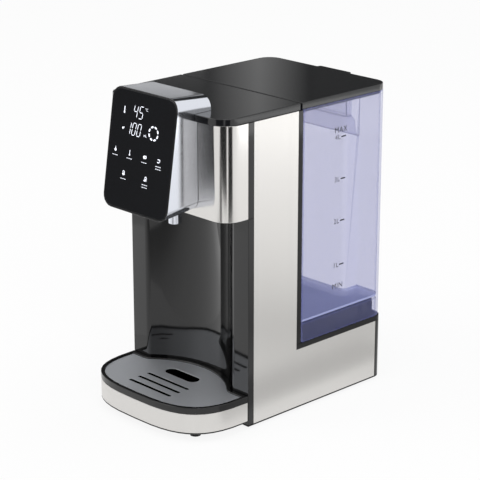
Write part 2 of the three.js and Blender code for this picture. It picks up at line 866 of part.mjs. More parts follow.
function tankLid() {
  const front = seamBack + seamHalf;
  const under = coverUnder + gap;
  const lidOutline = (inset) => shapeOf(outline([
    [-half + inset, front + inset, 0], [half - inset, front + inset, 0],
    [half - inset, lidBack - inset, lidRadius - inset],
    [-half + inset, lidBack - inset, lidRadius - inset],
  ]));
  const shell = slab(lidOutline(0), under, coverTop);
  const hollow = slab(lidOutline(moulding), under - overrun, coverTop - coverSkin);
  const lip = slab(shapeOf(outline([
    [lipShift - lipHalf, lidBack - moulding / 2, 0],
    [lipShift + lipHalf, lidBack - moulding / 2, 0],
    [lipShift + lipHalf, lidBack + lipReach, lipRadius],
    [lipShift - lipHalf, lidBack + lipReach, lipRadius],
  ])), coverTop - lipHeight, coverTop);
  const skirtTop = coverTop - coverSkin + weld;
  const skirt = cut(
    slab(shapeOf(tankOutline(tankWall + lidFit)), under - lidSkirtDrop, skirtTop),
    slab(shapeOf(tankOutline(tankWall + lidFit + lidSkirt)), under - lidSkirtDrop - overrun,
      skirtTop + overrun));
  return join(cut(shell, hollow), lip, skirt);
}

place('tank_lid', tankLid(), 'matteBlack');

// Drip tray: tub, steel band, slotted plate and two feet
const trayFit = 0.5;
const trayPower = 3.1;
const traySteps = 22;
const trayTop = 38.2;
const rimHeight = 7;
const rimBottom = trayTop - rimHeight;
const bandThickness = 0.8;
const bandInset = 0.2;
const bandLift = 1.6;
const bandBottom = trayLift + bandLift;
const trayFloor = 2.4;
const tubWall = 2.4;
const rimWidth = 4.3;
const rearRimWidth = 5.2;
const ledgeWidth = 2.5;
const plateThickness = 1;
const plateSink = 1.4;
const trayFootInset = 29.5;
const trayFootX = half - trayFootInset;
const trayFootY = -13;
const trayFootRadius = 6;
const thinSlotLength = 66;
const thinSlotWidth = 4.2;
const thinSlotX = -1;
const thinSlotYs = [-20.6, -7.8, 5];
const wideSlotLength = 48;
const wideSlotWidth = 14.7;
const wideSlotX = -2;
const wideSlotY = 26.9;

function trayFront(inset, rearInset = inset) {
  const side = half - inset;
  const back = stripFront - trayFit - inset;
  const reach = back + trayReach - inset;
  const points = [];
  for (let step = 0; step <= traySteps; step += 1) {
    const angle = Math.PI * (1 + step / traySteps);
    const across = Math.sign(Math.cos(angle)) * Math.abs(Math.cos(angle)) ** (2 / trayPower);
    const ahead = Math.abs(Math.sin(angle)) ** (2 / trayPower);
    points.push(corner(side * (Math.abs(across) > weld ? across : 0), back - reach * ahead));
  }
  points[0].y = stripFront - trayFit - rearInset;
  points.at(-1).y = points[0].y;
  return points;
}

function trayShape(inset, rearInset = inset) {
  return shapeOf([
    ...trayFront(inset, rearInset), ...recessLine(-trayFit - rearInset),
  ]);
}

function dripTray() {
  const ledge = trayTop - plateSink - plateThickness - gap;
  const tubInset = bandInset + bandThickness + gap;
  const rim = slab(trayShape(0), rimBottom, trayTop);
  const tub = slab(trayShape(tubInset), trayLift, rimBottom + weld);
  const lip = slab(trayShape(bandInset), trayLift, bandBottom - gap);
  const pocket = slab(trayShape(rimWidth, rearRimWidth), ledge, trayTop + overrun);
  const mouth = slab(
    trayShape(rimWidth + ledgeWidth, rearRimWidth + ledgeWidth), rimBottom, ledge + overrun);
  const basin = slab(trayShape(tubInset + tubWall), trayLift + trayFloor, rimBottom + weld);
  return cut(join(rim, tub, lip), pocket, mouth, basin);
}

function trayBand() {
  const outer = trayFront(bandInset);
  const inside = trayFront(bandInset + bandThickness, bandInset);
  return slab(shapeOf([...outer, ...inside.reverse()]), bandBottom, rimBottom - gap);
}

function slot(x, y, length, breadth) {
  const radius = breadth / 2 - weld;
  return outline([
    [x - length / 2, y - breadth / 2, radius], [x + length / 2, y - breadth / 2, radius],
    [x + length / 2, y + breadth / 2, radius], [x - length / 2, y + breadth / 2, radius],
  ]);
}

function dripPlate() {
  const slots = thinSlotYs.map((y) => slot(thinSlotX, y, thinSlotLength, thinSlotWidth));
  slots.push(slot(wideSlotX, wideSlotY, wideSlotLength, wideSlotWidth));
  const shape = trayShape(rimWidth + gap, rearRimWidth + gap);
  shape.holes = slots.map((points) => new THREE.Path(points));
  const top = trayTop - plateSink;
  return slab(shape, top - plateThickness, top);
}

place('drip_tray', dripTray(), 'glossBlack');
place('tray_band', trayBand(), 'brushedSteel');
place('drip_plate', dripPlate(), 'brushedSteel');
for (const [name, side] of [['left', -1], ['right', 1]]) {
  place(`tray_foot_${name}`, disc(
    side * trayFootX, trayFootY, trayFootRadius, 0, trayLift - gap), 'rubber');
}

// Nozzle under the ceiling
const nozzleRadius = 7;
const nozzleHeight = 16;
const nozzleDrop = 4.3;
const nozzleTop = ceilingBottom - nozzleDrop;
const nozzleBottom = nozzleTop - nozzleHeight;
const nozzleLip = 3.4;
const shoulderLift = 4;
const nozzleShoulder = nozzleBottom + shoulderLift;
const holderFlange = 11;
const holderSpigot = 5;
const holderBore = 2.6;
const insertHeight = 4;
const holderBottom = nozzleShoulder + insertHeight;
const barbRadius = 3.6;
const barbHeight = 16.7;
const barbTop = ceilingBottom + barbHeight;
const insertBore = 2;

const nozzleProfile = [
  [nozzleLip, nozzleBottom], [nozzleRadius - gap, nozzleBottom],
  [nozzleRadius, nozzleBottom + gap], [nozzleRadius, nozzleTop],
  [holderSpigot + gap, nozzleTop], [holderSpigot + gap, nozzleShoulder],
  [nozzleLip, nozzleShoulder],
];
const holderProfile = [
  [holderBore, holderBottom], [holderSpigot, holderBottom], [holderSpigot, nozzleTop + gap],
  [holderFlange, nozzleTop + gap], [holderFlange, ceilingBottom - gap],
  [holderRadius, ceilingBottom - gap], [holderRadius, ceilingBottom + housingFloor],
  [barbRadius, ceilingBottom + housingFloor], [barbRadius, barbTop], [holderBore, barbTop],
];
place('nozzle', turned(0, nozzleY, nozzleProfile), 'chrome');
place('nozzle_holder', turned(0, nozzleY, holderProfile), 'matteBlack');
place('nozzle_insert', ring(
  0, nozzleY, insertBore, holderSpigot, nozzleShoulder + gap, holderBottom - gap), 'silicone');

// Pump in the base: cradle, housing, cover, impeller and motor on one axis along Y
const pumpX = -38;
const pumpShare = 0.2554;
const pumpRadius = (windowSill - panTop) * pumpShare;
const pumpLift = 3.5;
const pumpZ = panTop + pumpLift + pumpRadius;
const pumpSetback = 42.3;
const pumpBack = windowFront + pumpSetback;
const pumpLength = 20;
const pumpWall = 2.2;
const pumpCoverDepth = 4;
const portRadius = 4;
const portBore = 2.4;
const portLength = 7;
const outletShift = 8;
const shaftRadius = 1.5;
const impellerInset = 5;
const impellerRadius = pumpRadius - impellerInset;
const impellerDisc = 1.6;
const vaneHeight = 5;
const vaneWidth = 1.4;
const vaneCount = 6;
const motorInset = 3.5;
const motorRadius = pumpRadius - motorInset;
const motorLength = 34;
const cradleHalf = 12;
const cradleSink = 3;
const pumpFront = pumpBack - pumpLength;
const chamberRadius = pumpRadius - pumpWall;

function pumpBody() {
  const cup = alongY(turned(0, 0, [
    [chamberRadius, pumpCoverDepth + gap], [pumpRadius, pumpCoverDepth + gap],
    [pumpRadius, pumpLength], [shaftRadius + gap, pumpLength],
    [shaftRadius + gap, pumpLength - pumpWall], [chamberRadius, pumpLength - pumpWall],
  ]), pumpX, pumpFront, pumpZ);
  const y = pumpFront + pumpLength / 2 + portRadius / 2;
  const outlet = disc(pumpX + outletShift, y, portRadius, pumpZ, pumpZ + pumpRadius + portLength);
  const bore = disc(
    pumpX + outletShift, y, portBore, pumpZ, pumpZ + pumpRadius + portLength + overrun);
  const chamber = alongY(
    disc(0, 0, chamberRadius, pumpCoverDepth, pumpLength - pumpWall), pumpX, pumpFront, pumpZ);
  return join(cut(cup, bore), cut(outlet, chamber, bore));
}

function pumpCover() {
  return alongY(turned(0, 0, [
    [portBore, -portLength], [portRadius, -portLength], [portRadius, 0], [pumpRadius, 0],
    [pumpRadius, pumpCoverDepth], [chamberRadius - gap, pumpCoverDepth],
    [chamberRadius - gap, pumpCoverDepth + gap], [portBore, pumpCoverDepth + gap],
  ]), pumpX, pumpFront, pumpZ);
}

function impeller() {
  const back = pumpLength - pumpWall - gap;
  const face = back - impellerDisc;
  const wheel = turned(0, 0, [
    [0, face - vaneHeight], [shaftRadius, face - vaneHeight], [shaftRadius, face],
    [impellerRadius, face], [impellerRadius, back], [shaftRadius, back],
    [shaftRadius, pumpLength + gap], [0, pumpLength + gap],
  ]);
  const vanes = [];
  for (let spot = 0; spot < vaneCount; spot += 1) {
    const vane = block(
      shaftRadius / 2, impellerRadius - gap, -vaneWidth / 2, vaneWidth / 2,
      face - vaneHeight, face + lap);
    vanes.push(vane.rotateZ(spot * Math.PI * 2 / vaneCount));
  }
  return alongY(join(wheel, ...vanes), pumpX, pumpFront, pumpZ);
}

function cradle() {
  const back = pumpBack + motorLength;
  const base = block(
    pumpX - cradleHalf, pumpX + cradleHalf, pumpBack + gap, back, panTop + gap,
    pumpZ - motorRadius + cradleSink);
  const bed = alongY(
    disc(0, 0, motorRadius + gap, -overrun, motorLength + overrun), pumpX, pumpBack, pumpZ);
  return cut(base, bed);
}

place('pump_body', pumpBody(), 'ivory');
place('pump_cover', pumpCover(), 'ivory');
place('pump_impeller', impeller(), 'ivory');
place('pump_motor', alongY(
  disc(0, 0, motorRadius, pumpLength + gap * 2, pumpLength + motorLength),
  pumpX, pumpFront, pumpZ), 'motorSteel');
place('pump_cradle', cradle(), 'rubber');

// Flow meter on the partition: a round body with a paddle wheel that turns about Y
const meterInset = 41.5;
const meterX = meterInset - half;
const meterLift = 51.4;
const meterZ = windowSill + meterLift;
const meterRadius = 15;
const meterWall = 2;
const meterDepth = 13;
const meterCap = 2;
const paddleRadius = 11.5;
const paddleWidth = 6.5;
const paddleBlade = 1.4;
const paddleCount = 6;
const meterPort = 4;
const meterPortBore = 2.2;
const meterPortLength = 7;
const meterBack = frontEdge - gap;
const meterFront = meterBack - meterDepth;

function meterBody() {
  const cup = alongY(turned(0, 0, [
    [meterRadius - meterWall, meterCap + gap], [meterRadius, meterCap + gap],
    [meterRadius, meterDepth], [0, meterDepth], [0, meterDepth - meterWall],
    [meterRadius - meterWall, meterDepth - meterWall],
  ]), meterX, meterFront, meterZ);
  const y = meterFront + meterDepth / 2 + gap;
  const reach = meterRadius + meterPortLength;
  const port = disc(meterX, y, meterPort, meterZ - reach, meterZ + reach);
  const chamber = alongY(
    disc(0, 0, meterRadius - meterWall, meterCap, meterDepth - meterWall),
    meterX, meterFront, meterZ);
  const bore = disc(
    meterX, y, meterPortBore, meterZ - reach - overrun, meterZ + reach + overrun);
  const pin = alongY(
    disc(0, 0, shaftRadius - gap, meterCap + gap * 4, meterDepth - meterWall + lap),
    meterX, meterFront, meterZ);
  return join(cut(join(cup, port), chamber, bore), pin);
}

function paddleWheel() {
  const near = meterCap + gap * 2;
  const far = near + paddleWidth;
  const blades = [];
  for (let spot = 0; spot < paddleCount; spot += 1) {
    const blade = block(
      shaftRadius * 1.5, paddleRadius, -paddleBlade / 2, paddleBlade / 2, near, far);
    blades.push(blade.rotateZ(spot * Math.PI * 2 / paddleCount));
  }
  const hub = ring(0, 0, shaftRadius, shaftRadius * 2, near, far);
  return alongY(join(hub, ...blades), meterX, meterFront, meterZ);
}

place('meter_body', meterBody(), 'ivory');
place('meter_wheel', paddleWheel(), 'matteBlack');
place('meter_cap', alongY(
  disc(0, 0, meterRadius, 0, meterCap), meterX, meterFront, meterZ), 'matteBlack');

// Heater: a steel tube between two caps, held to the partition
const heaterX = 44;
const bayDepth = frontEdge - stripFront - recessDepth - columnWall;
const heaterShare = 0.338;
const heaterRadius = bayDepth * heaterShare;
const heaterLift = 41.4;
const heaterBottom = windowSill + heaterLift;
const heaterDrop = 11.3;
const heaterTop = ceilingBottom - heaterDrop;
const heaterWall = 1;
const heaterCap = 12;
const heaterCapWall = 3;
const heaterCapRadius = heaterRadius + heaterCapWall;
const heaterGap = 3;
const heaterY = frontEdge - heaterGap - heaterCapRadius;
const bracketHalf = 12;
const bracketHeight = 10;
const cutoutRadius = 8;
const cutoutDepth = 7;
const sensorRadius = 2.2;
const sensorReach = 14;

function heaterEnd(face, away) {
  const tip = face + away * (heaterCap + portLength);
  const outer = face + away * heaterCap;
  const inset = face - away * heaterCap / 2;
  const profile = [
    [portBore, tip], [portRadius, tip], [portRadius, outer], [heaterCapRadius, outer],
    [heaterCapRadius, inset], [heaterRadius + gap, inset], [heaterRadius + gap, face + away * gap],
    [portBore, face + away * gap],
  ];
  return turned(heaterX, heaterY, profile);
}

function heaterBracket() {
  const z = (heaterBottom + heaterTop) / 2;
  const arm = block(
    heaterX - bracketHalf, heaterX + bracketHalf, heaterY, frontEdge - gap,
    z - bracketHeight, z + bracketHeight);
  const bed = disc(
    heaterX, heaterY, heaterRadius + gap, z - bracketHeight - overrun,
    z + bracketHeight + overrun);
  return cut(arm, bed);
}

place('heater_tube', ring(
  heaterX, heaterY, heaterRadius - heaterWall, heaterRadius, heaterBottom, heaterTop), 'motorSteel');
place('heater_cap_lower', heaterEnd(heaterBottom, -1), 'ivory');
place('heater_cap_upper', heaterEnd(heaterTop, 1), 'ivory');
place('heater_bracket', heaterBracket(), 'motorSteel');
place('thermal_cutout', alongX(
  disc(0, 0, cutoutRadius, heaterRadius + gap, heaterRadius + gap + cutoutDepth),
  heaterX, heaterY, heaterTop - heaterCap * 2), 'matteBlack');
place('temperature_sensor', disc(
  heaterX + heaterRadius - sensorRadius, heaterY, sensorRadius, heaterTop + heaterCap + gap,
  heaterTop + heaterCap + sensorReach), 'motorSteel');

// Boards: power board on the base pan, control board on the ceiling floor
const boardX = 42;
const boardHalf = 28;
const boardSetback = 28.9;
const boardLength = 85;
const boardBack = sideRear - boardSetback;
const boardFront = boardBack - boardLength;
const postHeight = 6;
const postRadius = 3;
const relaySide = 9;
const relayHeight = 15;
const relayLead = 12;
const relayFront = boardFront + relayLead;
const coilSide = 14;
const coilHeight = 24;
const coilLead = 45;
const coilFront = boardFront + coilLead;
const controlHalf = 34;
const controlSetback = 18.4;
const controlFront = stripFront + controlSetback;
const controlHeight = 34;
const controlFoot = 8;

function powerBoard() {
  const bottom = panTop + postHeight;
  const plate = block(
    boardX - boardHalf, boardX + boardHalf, boardFront, boardBack, bottom,
    bottom + boardThickness);
  const posts = [boardFront + postRadius, boardBack - postRadius].flatMap((y) => [
    boardX - boardHalf + postRadius, boardX + boardHalf - postRadius,
  ].map((x) => disc(x, y, postRadius, panTop + gap, bottom + lap)));
  const face = bottom + boardThickness - lap;
  const relay = block(
    boardX - relaySide, boardX + relaySide, relayFront, relayFront + relaySide * 2,
    face, face + relayHeight);
  const coil = block(
    boardX - coilSide, boardX + coilSide, coilFront, coilFront + coilSide * 2,
    face, face + coilHeight);
  return join(plate, ...posts, relay, coil);
}

function controlBoard() {
  const bottom = ceilingBottom + housingFloor + gap;
  const plate = block(
    -controlHalf, controlHalf, controlFront, controlFront + boardThickness, bottom,
    bottom + controlHeight);
  const foot = block(
    -controlHalf, controlHalf, controlFront, controlFront + controlFoot, bottom,
    bottom + boardThickness);
  return join(plate, foot);
}

place('power_board', powerBoard(), 'board');
place('control_board', controlBoard(), 'board');

// Silicone hoses, each a bored tube along a curve between two spigots
const hoseRadius = 4.6;
const hoseBore = 3;
const hoseLead = 8;

function hose(points) {
  const circle = (radius) => {
    const spots = [];
    for (let side = 0; side < hoseSides; side += 1) {
      const angle = side * Math.PI * 2 / hoseSides;
      spots.push(corner(radius * Math.cos(angle), radius * Math.sin(angle)));
    }
    return spots;
  };
  const path = new THREE.CatmullRomCurve3(points.map((point) => new THREE.Vector3(...point)));
  return new THREE.ExtrudeGeometry(shapeOf(circle(hoseRadius), circle(hoseBore)), {
    steps: hoseSteps, extrudePath: path, bevelEnabled: false,
  });
}

const inletTip = socketFloor - spigotDrop - gap;
const pumpInletY = pumpFront - portLength - gap;
const outletTip = pumpZ + pumpRadius + portLength + gap;
const outletX = pumpX + outletShift;
const hoseRise = windowSill + gap - outletTip;
const riseShares = [0.2, 0.57, 0.643, 0.75];
const riseLevels = riseShares.map((share) => outletTip + hoseRise * share);
const outletY = pumpFront + pumpLength / 2 + portRadius / 2;
const meterY = meterFront + meterDepth / 2 + gap;
const meterLow = meterZ - meterRadius - meterPortLength - gap;
const meterHigh = meterZ + meterRadius + meterPortLength + gap;
const heaterLow = heaterBottom - heaterCap - portLength - gap;
const heaterHigh = heaterTop + heaterCap + portLength + gap;

place('hose_tank_to_pump', hose([
  [0, socketY, inletTip], [0, socketY, inletTip - hoseLead],
  [0, socketY - hoseLead * 2, inletTip - hoseLead * 3],
  [pumpX / 3, pumpInletY - hoseLead, pumpZ + hoseLead],
  [pumpX * 2 / 3, pumpInletY - hoseLead * 2, pumpZ + gap],
  [pumpX, pumpInletY - hoseLead, pumpZ], [pumpX, pumpInletY, pumpZ],
]), 'silicone');
place('hose_pump_to_meter', hose([
  [outletX, outletY, outletTip], [outletX, outletY, riseLevels[0]],
  [outletX - gap * 4, outletY - hoseLead, riseLevels[1]],
  [(outletX + meterX) / 2, (outletY + meterY) / 2, riseLevels[2]],
  [meterX, meterY + hoseLead / 4, riseLevels[3]],
  [meterX, meterY, meterLow - hoseLead * 3], [meterX, meterY, meterLow],
]), 'silicone');
place('hose_meter_to_heater', hose([
  [meterX, meterY, meterHigh], [meterX, meterY, meterHigh + hoseLead],
  [meterX + hoseLead * 3, meterY - hoseLead, meterHigh + hoseLead],
  [0, heaterY - hoseLead / 2, meterZ], [heaterX - hoseLead * 3, heaterY, heaterLow - hoseLead],
  [heaterX, heaterY, heaterLow - hoseLead], [heaterX, heaterY, heaterLow],
]), 'silicone');
place('hose_heater_to_nozzle', hose([
  [heaterX, heaterY, heaterHigh], [heaterX, heaterY, heaterHigh + hoseLead],
  [heaterX - hoseLead, heaterY - hoseLead * 3, heaterHigh + hoseLead * 4],
  [heaterX / 4, nozzleY + hoseLead * 3, heaterHigh + hoseLead * 6],
  [0, nozzleY + hoseLead / 4, barbTop + hoseLead * 4], [0, nozzleY, barbTop + hoseLead],
  [0, nozzleY, barbTop + gap],
]), 'silicone');

group.position.y = (trayReach - lidBack - lipReach) / 2;
export default group;
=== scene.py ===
"""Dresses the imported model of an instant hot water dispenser.

Softened shells stand in for the CAD solids that show, lit figures and water marks are added,
every piece gets the finish of its real material, and a pale studio is set round it.
"""

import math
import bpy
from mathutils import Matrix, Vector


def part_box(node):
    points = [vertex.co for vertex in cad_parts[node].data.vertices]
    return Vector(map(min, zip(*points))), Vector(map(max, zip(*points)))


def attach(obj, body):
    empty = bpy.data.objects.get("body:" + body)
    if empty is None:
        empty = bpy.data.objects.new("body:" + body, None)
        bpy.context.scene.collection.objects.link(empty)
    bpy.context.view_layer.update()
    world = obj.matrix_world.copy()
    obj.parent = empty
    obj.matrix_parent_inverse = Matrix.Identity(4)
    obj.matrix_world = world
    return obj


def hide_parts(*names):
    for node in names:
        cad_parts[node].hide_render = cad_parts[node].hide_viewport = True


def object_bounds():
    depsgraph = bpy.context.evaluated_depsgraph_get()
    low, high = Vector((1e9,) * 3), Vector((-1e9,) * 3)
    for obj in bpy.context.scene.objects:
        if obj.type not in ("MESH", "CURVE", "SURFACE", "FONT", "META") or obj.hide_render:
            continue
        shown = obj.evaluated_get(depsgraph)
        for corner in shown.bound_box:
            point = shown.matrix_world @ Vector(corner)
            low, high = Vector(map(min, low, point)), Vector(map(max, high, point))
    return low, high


bl_info = {
    "name": "Hot Water Dispenser Dressing",
    "version": (1, 0, 0),
    "blender": (4, 5, 0),
    "location": "View3D > Sidebar > Dispenser",
    "description": "Builds the finish and fine detail of an instant hot water dispenser",
    "category": "Object",
}

import bmesh
import bpy
from mathutils import Matrix, Vector

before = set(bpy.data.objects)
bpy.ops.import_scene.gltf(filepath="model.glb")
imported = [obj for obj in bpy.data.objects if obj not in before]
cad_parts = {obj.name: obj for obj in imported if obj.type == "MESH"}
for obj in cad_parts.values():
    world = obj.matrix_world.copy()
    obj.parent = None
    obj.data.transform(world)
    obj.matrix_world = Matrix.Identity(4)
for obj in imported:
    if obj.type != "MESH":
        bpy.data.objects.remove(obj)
cad_low, cad_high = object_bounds()

MM = 0.001
MERGE = 0.01 * MM
FLAT_ANGLE = math.radians(0.6)
SMOOTH_ANGLE = math.radians(40)
EDGE_ANGLE = math.radians(32)
FACE_WEIGHT = 100
UPRIGHT = math.pi / 2

# Places read from the frame
tank_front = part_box("water_tank")[0].y
pan_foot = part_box("base_pan")[0].z
glass_low, glass_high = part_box("touch_glass")
half_width = cad_high.x

# Sockets of a colour Mix node, which share their names
MIX_A = 6
MIX_B = 7
MIX_OUT = 2


def linear(code):
    """Scene-linear red, green and blue of an sRGB hex value."""
    parts = [int(code[start:start + 2], 16) / 255 for start in (0, 2, 4)]
    return tuple(
        part / 12.92 if part <= 0.04045 else ((part + 0.055) / 1.055) ** 2.4 for part in parts)


def colour_property(label, about, code):
    return bpy.props.FloatVectorProperty(
        name=label, description=about, subtype="COLOR", size=3, min=0, max=1,
        default=linear(code))


def length_property(label, about, millimetres):
    return bpy.props.FloatProperty(
        name=label, description=about, subtype="DISTANCE", unit="LENGTH", min=0,
        default=millimetres * MM)


class DispenserSizes(bpy.types.PropertyGroup):
    """Edge radii and small sizes of the dressed pieces"""

    cover_edge: length_property("Cover edge", "Radius along the cover and the lid", 0.8)
    seam: length_property("Seam", "How far the lid stands back from the cover", 1.3)
    steel_edge: length_property("Steel edge", "Radius along the cut edges of sheet steel", 0.3)
    body_edge: length_property("Body edge", "Radius along the black mouldings", 0.5)
    sleeve_edge: length_property("Sleeve edge", "Radius round the mouth of the sleeve", 0.45)
    glass_edge: length_property("Glass edge", "Ground edge of the touch glass", 0.5)
    tray_edge: length_property("Tray edge", "Radius of the tray's rim", 1.1)
    tank_edge: length_property("Tank edge", "Radius along the tank's edges", 0.65)
    # The tank band is drawn in a lighter, denser lilac: painted light for the bright band along
    # the tank's fillet
    tank_lit_band: length_property("Tank band", "Height of the denser foot of the tank's walls, lightened as painted light", 2.6)
    plate_sheet: length_property("Plate sheet", "Thickness of the slotted plate", 0.5)
    rubber_edge: length_property("Rubber edge", "Radius of the moulded feet", 0.6)
    screw_radius: length_property("Screw radius", "Head radius of the base screws", 3.4)


class DispenserColours(bpy.types.PropertyGroup):
    """Colours of the finishes"""

    matte_black: colour_property("Matte black", "Cover, lid and inner mouldings", "17181a")
    gloss_black: colour_property("Gloss black", "Polished column round the cup", "0b0b0c")
    stainless: colour_property("Stainless", "Brushed side, front, band and plate", "dddbd8")
    plate: colour_property("Plate", "Brushed plate of the drip tray", "e9ecf1")
    chrome: colour_property("Chrome", "Sleeve of the head and the nozzle", "dfe2ea")
    glass: colour_property("Glass", "Touch glass over its black backing", "0d0e12")
    tank: colour_property("Tank", "Clear tinted tank", "a9afee")
    tank_clear: colour_property("Tank clear", "Light that one wall lets through", "f4f4f8")
    # Tank bend is painted light: a lighter lilac that stands in for the light on the tank's
    # floor and the bright band along its fillet
    tank_bend_lit: colour_property("Tank bend", "Floor of the tank and foot of its walls", "ced6ff")
    tank_rim: colour_property("Tank rim", "Edges of the tank seen edge-on", "7178c2")
    ink: colour_property("Ink", "Printed water marks", "26272f")
    figure: colour_property("Figures", "Lit figures and signs", "f2f5ff")
    rubber: colour_property("Rubber", "Feet, gland and cradle", "1b1b1c")
    silicone: colour_property("Silicone", "Hoses and seals", "dcdad4")
    ivory: colour_property("Ivory", "Moulded water parts", "d8d2c2")
    steel: colour_property("Plain steel", "Motor, heater and bracket", "a9aaac")
    laminate: colour_property("Laminate", "Circuit boards", "1f5a3a")
    floor: colour_property("Floor", "Studio floor", "f3f3f3")


class DispenserStage(bpy.types.PropertyGroup):
    """Camera and light"""

    azimuth: bpy.props.FloatProperty(
        name="Azimuth", description="Turn of the camera to the object's right",
        subtype="ANGLE", unit="ROTATION", default=math.radians(46.04))
    elevation: bpy.props.FloatProperty(
        name="Elevation", description="Height of the camera over the level",
        subtype="ANGLE", unit="ROTATION", default=math.radians(18.25))
    distance: length_property("Distance", "From the camera to its target", 1874.2)
    lens: bpy.props.FloatProperty(
        name="Lens", description="Focal length in millimetres", default=134.5)
    target: bpy.props.FloatVectorProperty(
        name="Target", description="Point that the camera looks at", subtype="TRANSLATION",
        unit="LENGTH", default=(0.0558, -0.04585, 0.1977))
    daylight: bpy.props.FloatProperty(
        name="Daylight", description="Strength of the even light from all round", default=0.75)
    floor_glow: bpy.props.FloatProperty(
        name="Floor glow", description="Share of plain white in the floor as it is seen",
        subtype="FACTOR", min=0, max=1, default=0.88)


def sizes():
    return bpy.context.scene.dispenser_sizes


def colours():
    return bpy.context.scene.dispenser_colours


# Materials

def per_mm(spacing):
    """Scale of a texture on object coordinates whose features lie that many mm apart."""
    return 1 / (spacing * MM)


def add(tree, kind, values=None, links=None, **settings):
    """Adds a node: plain settings, socket values and links from other nodes' sockets."""
    item = tree.nodes.new(kind)
    for key, value in settings.items():
        setattr(item, key, value)
    for key, value in (values or {}).items():
        item.inputs[key].default_value = value
    for key, source in (links or {}).items():
        tree.links.new(source, item.inputs[key])
    return item


def start(name):
    material = bpy.data.materials.new(name)
    material.use_nodes = True
    material.node_tree.nodes.clear()
    return material, material.node_tree


def opaque(colour):
    return (*colour, 1)


def scaled(colour, share):
    return tuple(min(part * share, 1) for part in colour)


# How many finer layers each noise holds
DRIFT_DETAIL = 3.0
GRAIN_DETAIL = 4.0
SOFT_DETAIL = 2.0


def noise(tree, spacing, detail, place):
    """A noise on object coordinates, with features that lie that many mm apart."""
    return add(
        tree, "ShaderNodeTexNoise", {"Scale": per_mm(spacing), "Detail": detail},
        {"Vector": place}).outputs["Fac"]


def mottle(tree, colour, darkest, share):
    """The colour, darkened as far as the darkest share where the noise is low."""
    return add(
        tree, "ShaderNodeMix", {MIX_A: opaque(scaled(colour, darkest)), MIX_B: opaque(colour)},
        {"Factor": share}, data_type="RGBA").outputs[MIX_OUT]


def noise_driven(name, colour, drift, grain, shader, stretch=None):
    """A Principled finish whose colour, roughness and relief follow two noises.

    drift is (spacing mm, darkest share), grain is (spacing mm, relief mm, strength), and
    shader holds the plain socket values with Roughness as (lowest, highest).
    """
    material, tree = start(name)
    place = add(tree, "ShaderNodeTexCoord").outputs["Object"]
    if stretch:
        place = add(
            tree, "ShaderNodeMapping", {"Scale": stretch}, {"Vector": place}).outputs[0]
    spacing, darkest = drift
    tint = mottle(tree, colour, darkest, noise(tree, spacing, DRIFT_DETAIL, place))
    spacing, relief, strength = grain
    fine = noise(tree, spacing, GRAIN_DETAIL, place)
    low, high = shader["Roughness"]
    dull = add(
        tree, "ShaderNodeMapRange", {"To Min": low, "To Max": high}, {"Value": fine})
    bump = add(
        tree, "ShaderNodeBump", {"Strength": strength, "Distance": relief * MM},
        {"Height": fine})
    plain = {key: value for key, value in shader.items() if key != "Roughness"}
    surface = add(tree, "ShaderNodeBsdfPrincipled", plain, {
        "Base Color": tint, "Roughness": dull.outputs["Result"],
        "Normal": bump.outputs["Normal"]})
    add(tree, "ShaderNodeOutputMaterial", None, {"Surface": surface.outputs[0]})
    return material


def satin_abs():
    # ABS from a stoned mould: an even satin with a grain that softens highlights.
    # The real grain is 0.2 mm; it is drawn at 0.7 mm so that it shows.
    return noise_driven(
        "Satin ABS", colours().matte_black, (55, 0.86), (0.7, 0.02, 0.18),
        {"Roughness": (0.09, 0.15), "IOR": 1.53})


def polished_abs(name, gloss):
    # ABS from a mirror-polished mould: deep black, with a slow ripple from its shrinkage.
    # The trim round the tank has a lower gloss than the column.
    return noise_driven(
        name, colours().gloss_black, (70, 0.8), (22, 0.05, 0.12),
        {"Roughness": (0.04, 0.09), "IOR": 1.53, "Specular IOR Level": gloss})


def brushed_stainless(name, colour, stretch, dull):
    # Stainless sheet ground with a belt: fine parallel scratches that draw reflections out
    # across them. The real scratches are 0.1 mm apart; they are drawn at 0.6 mm.
    return noise_driven(
        name, colour, (9, 0.97), (0.6, 0.01, 0.1),
        {"Roughness": dull, "Metallic": 1.0}, stretch)


def chrome_plate():
    # Chromed ABS: a mirror with a faint ripple
    return noise_driven(
        "Chrome plate", colours().chrome, (60, 0.96), (30, 0.02, 0.05),
        {"Roughness": (0.11, 0.15), "Metallic": 1.0})


def black_backed_glass():
    # Float glass printed black behind: flat, hard gloss with a trace of warm tint in its depth
    return noise_driven(
        "Black backed glass", colours().glass, (45, 0.75), (60, 0.01, 0.03),
        {"Roughness": (0.03, 0.05), "IOR": 1.52})


# How the tank's tint gathers towards a grazing view, and spacing and depth of its flow lines
TINT_POWER = 2.6
FLOW_SPACING = 35
FLOW_DARKEST = 0.95


